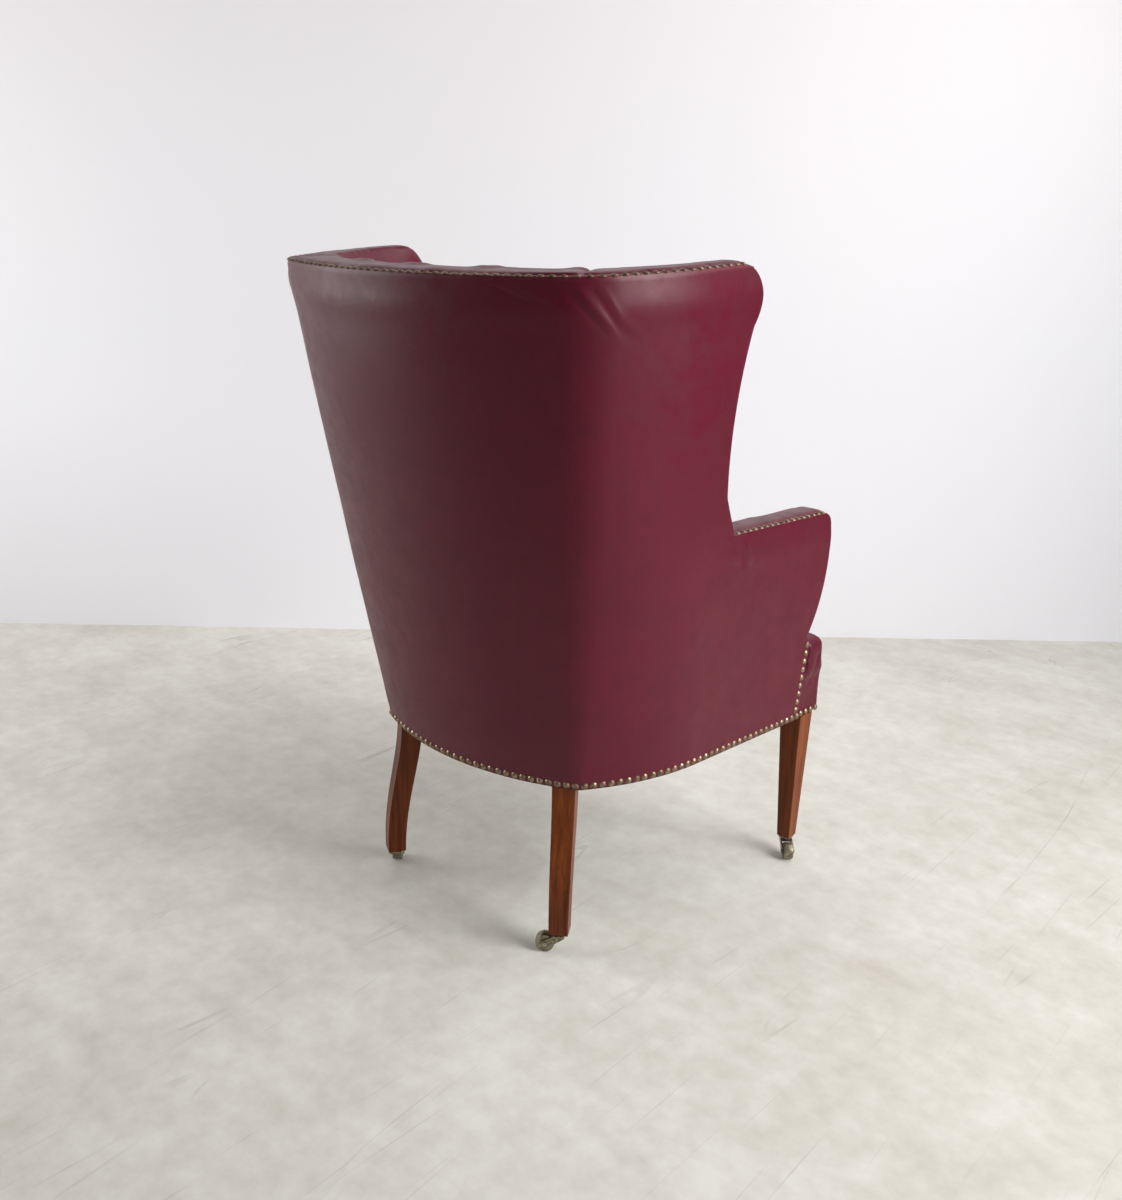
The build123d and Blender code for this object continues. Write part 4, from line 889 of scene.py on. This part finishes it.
def buttonPlaces():
    # Middle of each button, row by row, from the CAD buttons' own mesh
    points = pointsOf(nodes["back_buttons"])
    turns = np.degrees(np.arctan2(points[:, 0], points[:, 1] - padding["fanCentre"]))
    rows = []
    for row in range(padding["buttonRows"]):
        steps = (-1.5, -0.5, 0.5, 1.5) if row % 2 == 0 else (-2, -1, 0, 1, 2)
        height = padding["buttonHeight"] + padding["buttonPitch"] * row
        places = []
        for step in steps:
            near = (np.abs(turns - padding["fanTurn"] * step) < 4) & (np.abs(points[:, 2] - height) < 0.03)
            face = points[near]
            inward = fromCentre(face)
            depth = ((face - face.mean(0)) * inward).sum(1)
            places.append(face[depth > depth.max() - 0.004].mean(0))
        rows.append(places)
    return rows


def seamDistance(points):
    # Distance from the two upright seams between the inside back and the sides
    turn = np.radians(padding["seamTurn"])
    return np.abs(np.abs(points[:, 0]) * np.cos(turn) - (points[:, 1] - padding["seamApex"]) * np.sin(turn))


def borderBlock():
    # Closed block that the front border wraps: its plan is the outside plan, drawn in, at a few heights
    depths = np.linspace(padding["borderBack"], padding["borderFront"], 14)
    heights = np.linspace(padding["hem"], padding["rollFoot"], 8)
    y, z = np.meshgrid(depths, heights)
    x = planHalf(coordAtDepth(y, z), z)[0] - padding["borderInset"]
    ring = np.concatenate([np.stack([-x, y, z], -1), np.stack([x, y, z], -1)[:, ::-1]], 1)
    rows, columns = ring.shape[:2]
    faces = []
    for r in range(rows - 1):
        for k in range(columns):
            a, b = r * columns + k, r * columns + (k + 1) % columns
            faces.append((a, b, b + columns, a + columns))
    faces.append(tuple(range(columns))[::-1])
    faces.append(tuple(range((rows - 1) * columns, rows * columns)))
    mesh = bpy.data.meshes.new("borderBlock")
    mesh.from_pydata(ring.reshape(-1, 3).tolist(), [], faces)
    return mesh


# timbers that a side pad is stuffed round: their voxels keep its thin front wall whole
carriedParts = {"arm": ("arm_post_{}", "arm_rail_{}"), "wing": ("wing_post_{}", "wing_rail_{}"), "back": ()}
buttons = buttonPlaces()
allButtons = np.array([place for row in buttons for place in row])
topButtons = buttons[-1]
pads = {}
for label in ("inside_back", "inside_arm_right", "inside_arm_left", "inside_wing_right", "inside_wing_left"):
    first, second, *third = label.split("_")
    name = first + second.capitalize() + "".join(word.capitalize() for word in third)
    carried = [nodes[part.format(third[0])].data for part in carriedParts[second] if third]
    pads[label] = voxelPiece(name, [nodes[label].data] + carried, padding["voxel"])
pads["seat"] = voxelPiece("seatCover", [nodes["seat_pad"].data, borderBlock()], padding["voxel"], 5)
print("pads remeshed", {label: len(piece.data.vertices) for label, piece in pads.items()})


def freeShare(label, points, normals):
    # How free each point of a pad is to swell: 1 on the open face, 0 at seams, buttons and hidden sides
    if label == "seat":
        top = smoothStep(normals[:, 2], *free["seatUp"]) * smoothStep(points[:, 2], *free["seatHigh"])
        front = smoothStep(-normals[:, 1], *free["seatForward"])
        front = front * smoothStep(-points[:, 1], *free["seatFront"])
        front = front * smoothStep(points[:, 2], *free["seatFoot"])
        ears = smoothStep(free["seatWidth"] - np.abs(points[:, 0]), 0.0, 0.02)
        return np.clip(top + front, 0, 1) * ears
    inward = (normals * fromCentre(points)).sum(1)
    share = smoothStep(inward, *free["inward"]) * smoothStep(seamDistance(points), *free["seam"])
    share = share * smoothStep(points[:, 2], *free["foot"])
    if label == "inside_back":
        nearButton = np.min(np.linalg.norm(points[:, None] - allButtons[None], axis=2), axis=1)
        share = share * smoothStep(nearButton, padding["buttonHold"], free["buttonReach"])
    return share


def swell(pieces):
    # Blows the pads up a little by Blender's cloth with pressure; each point moves no further than the cap
    before, shares = {}, {}
    for label, piece in pieces.items():
        before[label] = pointsOf(piece)
        shares[label] = freeShare(label, before[label], normalsOf(piece))
        hold = piece.vertex_groups.new(name="hold")
        held = 1 - shares[label]
        steps = padding["holdLevels"]
        for level in range(1, steps + 1):
            chosen = np.nonzero(np.round(held * steps) == level)[0]
            hold.add(chosen.tolist(), level / steps, "REPLACE")
        cloth = piece.modifiers.new("swell", "CLOTH")
        cloth.settings.use_pressure = True
        cloth.settings.uniform_pressure_force = padding["pressure"]
        cloth.settings.effector_weights.gravity = 0
        cloth.settings.vertex_group_mass = "hold"
        cloth.settings.bending_stiffness = padding["bending"]
        cloth.point_cache.frame_start = 1
        cloth.point_cache.frame_end = padding["frames"]
    for frameNumber in range(1, padding["frames"] + 1):
        bpy.context.scene.frame_set(frameNumber)
    for label, piece in pieces.items():
        bake(piece)
        moved = pointsOf(piece) - before[label]
        length = np.linalg.norm(moved, axis=1, keepdims=True)
        cap = padding["seatCap"] if label == "seat" else padding["cap"]
        moved = moved * np.minimum(1, cap / np.maximum(length, 1e-9)) * shares[label][:, None]
        movePoints(piece, before[label] + moved)
    bpy.context.scene.frame_set(1)


swell(pads)
print("pads simulated")


def refined(piece):
    piece.vertex_groups.clear()
    halve = piece.modifiers.new("halve", "SUBSURF")
    halve.levels = halve.render_levels = 1
    bake(piece)
    piece.data.polygons.foreach_set("use_smooth", np.ones(len(piece.data.polygons), dtype=bool))


def wave(points, rates, shifts):
    # Smooth unevenness: a product of two slow sines per term, with no random draw
    x, y, z = points.T
    total = np.zeros(len(points))
    for (a, b, c), (s, t) in zip(rates, shifts):
        total += np.sin(x * a + z * b + s) * np.sin(y * c + z * a * 0.6 + t)
    return total


def dressBack(piece):
    # Pleats from the top buttons over the rim, diagonal folds between buttons and puckers round each
    points, normals = pointsOf(piece), normalsOf(piece)
    pleats = []
    for place in topButtons:
        rise = padding["pleatTop"] - place[2]
        lean = -fromCentre(place) * dressing["pleatLean"] * rise
        head = place + lean + np.array([0, 0, rise + dressing["pleatRise"]])
        pleats.append((place, head))
    diagonals = []
    for row, above in zip(buttons, buttons[1:]):
        for place in row:
            gaps = [np.linalg.norm((place - other)[:2]) for other in above]
            diagonals += [(place, other) for other, gap in zip(above, gaps) if gap < dressing["diagonalReach"]]
    inward = smoothStep((normals * fromCentre(points)).sum(1) + normals[:, 2], 0.0, 0.5)
    far = nearestOnSegments(points, pleats)[0]
    move = bell(far, *dressing["pleat"]) + bell(far, *dressing["pleatRoll"])
    far, along = nearestOnSegments(points, diagonals)
    move += bell(far, *dressing["diagonal"]) * (0.35 + 0.65 * (2 * along - 1) ** 2)  # weaker in the middle
    gaps = np.linalg.norm(points[:, None] - allButtons[None], axis=2)
    offset = points - allButtons[gaps.argmin(1)]
    rays = np.sin(dressing["puckerRays"] * np.arctan2(offset[:, 2], offset[:, 0]))
    move += bell(gaps.min(1), *dressing["pucker"]) * (1 + 0.5 * rays)
    amount, rates, shifts = dressing["backWave"]
    move += amount * wave(points, rates, shifts)
    movePoints(piece, points + normals * (move * inward)[:, None])


def dressSide(piece, shift):
    # Slack and drag lines of an arm or wing inside
    points, normals = pointsOf(piece), normalsOf(piece)
    seam = seamDistance(points)
    inward = smoothStep((normals * fromCentre(points)).sum(1), 0.2, 0.7) * smoothStep(seam, 0, 0.03)
    amount, rates = dressing["sideWave"]
    move = amount * wave(points, rates, [(shift, 1.1), (1.7, shift)])
    drag = np.sin((points[:, 2] * 1.1 - points[:, 1] * 0.7) * dressing["dragRate"] + shift * 3)
    move += dressing["drag"] * drag * smoothStep(0.06 - seam, 0, 0.05)
    movePoints(piece, points + normals * (move * inward)[:, None])


def dressSeat(piece):
    # Slight hollow of use in the crown, puckers above the nails and tucks at each front ear
    points, normals = pointsOf(piece), normalsOf(piece)
    x, y, z = points.T
    top = smoothStep(normals[:, 2], 0.3, 0.8)
    move = bell(x, *dressing["hollowAcross"]) * bell(y, *dressing["hollowAlong"]) * top
    amount, rates, shifts = dressing["seatWave"]
    move += amount * wave(points, rates, shifts)
    low = smoothStep(0.335 - z, 0.0, 0.03) * smoothStep(z, 0.296, 0.302)
    run = np.where(np.abs(normals[:, 1]) > 0.7, x, y)
    move += dressing["nailPucker"] * low * (0.5 + 0.5 * np.cos(run * 2 * np.pi / dressing["nailPitch"]))
    # the border's upright corners, which the smoothing rounds off, filled out again over the legs
    front = padding["borderFront"]
    height = np.clip(z, padding["hem"], padding["rollFoot"])
    cornerX = planHalf(coordAtDepth(np.full_like(z, front), height), height)[0] - padding["borderInset"]
    corner = np.hypot(np.abs(x) - cornerX, y - front)
    move += bell(corner, *dressing["cornerFill"]) * smoothStep(0.405 - z, 0, 0.03)
    tucks = [[np.array(end) * (side, 1, 1) for end in ends] for ends in dressing["tucks"] for side in (-1, 1)]
    far, along = nearestOnSegments(points, tucks)
    move += bell(far, *dressing["tuck"]) * (1 - 0.6 * along)
    movePoints(piece, points + normals * move[:, None])


def openBelow(piece):
    # Takes away the hidden inside of the front border, so that only its leather is left
    mesh = bmesh.new()
    mesh.from_mesh(piece.data)
    low = [face for face in mesh.faces if face.calc_center_median().z < padding["rollFoot"] - 0.002]
    x, y, z = np.array([tuple(face.calc_center_median()) for face in low]).T
    # the outline at each face's height, drawn in by what stays
    wall = planHalf(coordAtDepth(y, z), z)[0] - padding["skin"]
    hidden = (np.abs(x) < wall) & (y > padding["borderFront"] + padding["frontSkin"])
    bmesh.ops.delete(mesh, geom=[face for face, gone in zip(low, hidden) if gone], context="FACES")
    mesh.to_mesh(piece.data)
    mesh.free()


for label, piece in pads.items():
    refined(piece)
    if label == "inside_back":
        dressBack(piece)
    elif label == "seat":
        dressSeat(piece)
        openBelow(piece)
    else:
        dressSide(piece, 0.7 if label.endswith("right") else 2.1)
    rubbedMask(piece, lambda p: 0)
    piece.data.materials.clear()
    piece.data.materials.append(finishes["oxbloodPads"])
    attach(piece, "chair")
    if label == "seat":
        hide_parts("seat_pad", "front_border")
    else:
        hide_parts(label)
print("pads done", {label: len(piece.data.polygons) for label, piece in pads.items()})

# Dust cloth under the seat, stretched and tacked

cloth = {
    "height": 0.2933, "inset": 0.0066, "back": 0.0071, "front": -0.363,  # inset from the outside plan
    "rows": 60, "columns": 70, "wrinkle": 0.0003, "legReach": 0.012,
}


def buildDustCloth():
    depth = np.linspace(cloth["front"], shell["levels"][0][1] - cloth["back"], cloth["rows"])
    across = np.linspace(-1, 1, cloth["columns"])
    level = np.full_like(depth, cloth["height"])
    half = planHalf(coordAtDepth(depth, level, 0.0), level)[0] - cloth["inset"]
    half = np.maximum(half, 0.002)
    x = half[:, None] * across[None, :]
    y = depth[:, None] + 0 * across[None, :]
    edge = smoothStep(1 - np.abs(across)[None, :], 0, 0.12) * smoothStep(
        np.minimum(depth - depth[0], depth[-1] - depth)[:, None], 0, 0.03)
    z = cloth["height"] + cloth["wrinkle"] * np.sin(x * 70 + y * 31) * np.sin(y * 55 - x * 20) * edge
    piece = meshObject("dustCloth", np.stack([x, y, z], -1).reshape(-1, 3),
                       gridFaces(cloth["rows"], cloth["columns"]).tolist())
    mesh = bmesh.new()
    mesh.from_mesh(piece.data)
    gone = set()
    for name in ("front_leg_right", "front_leg_left", "rear_leg_right", "rear_leg_left"):
        near = pointsOf(nodes[name])
        near = near[np.abs(near[:, 2] - cloth["height"]) < cloth["legReach"]]
        low, high = (near.min(0), near.max(0)) if len(near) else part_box(name)
        for face in mesh.faces:
            middle = face.calc_center_median()
            if low[0] < middle.x < high[0] and low[1] < middle.y < high[1]:
                gone.add(face)
    bmesh.ops.delete(mesh, geom=list(gone), context="FACES")
    mesh.to_mesh(piece.data)
    mesh.free()
    piece.data.materials.append(finishes["dustCloth"])
    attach(piece, "chair")
    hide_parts("bottom_cloth")


buildDustCloth()
print("dust cloth done")
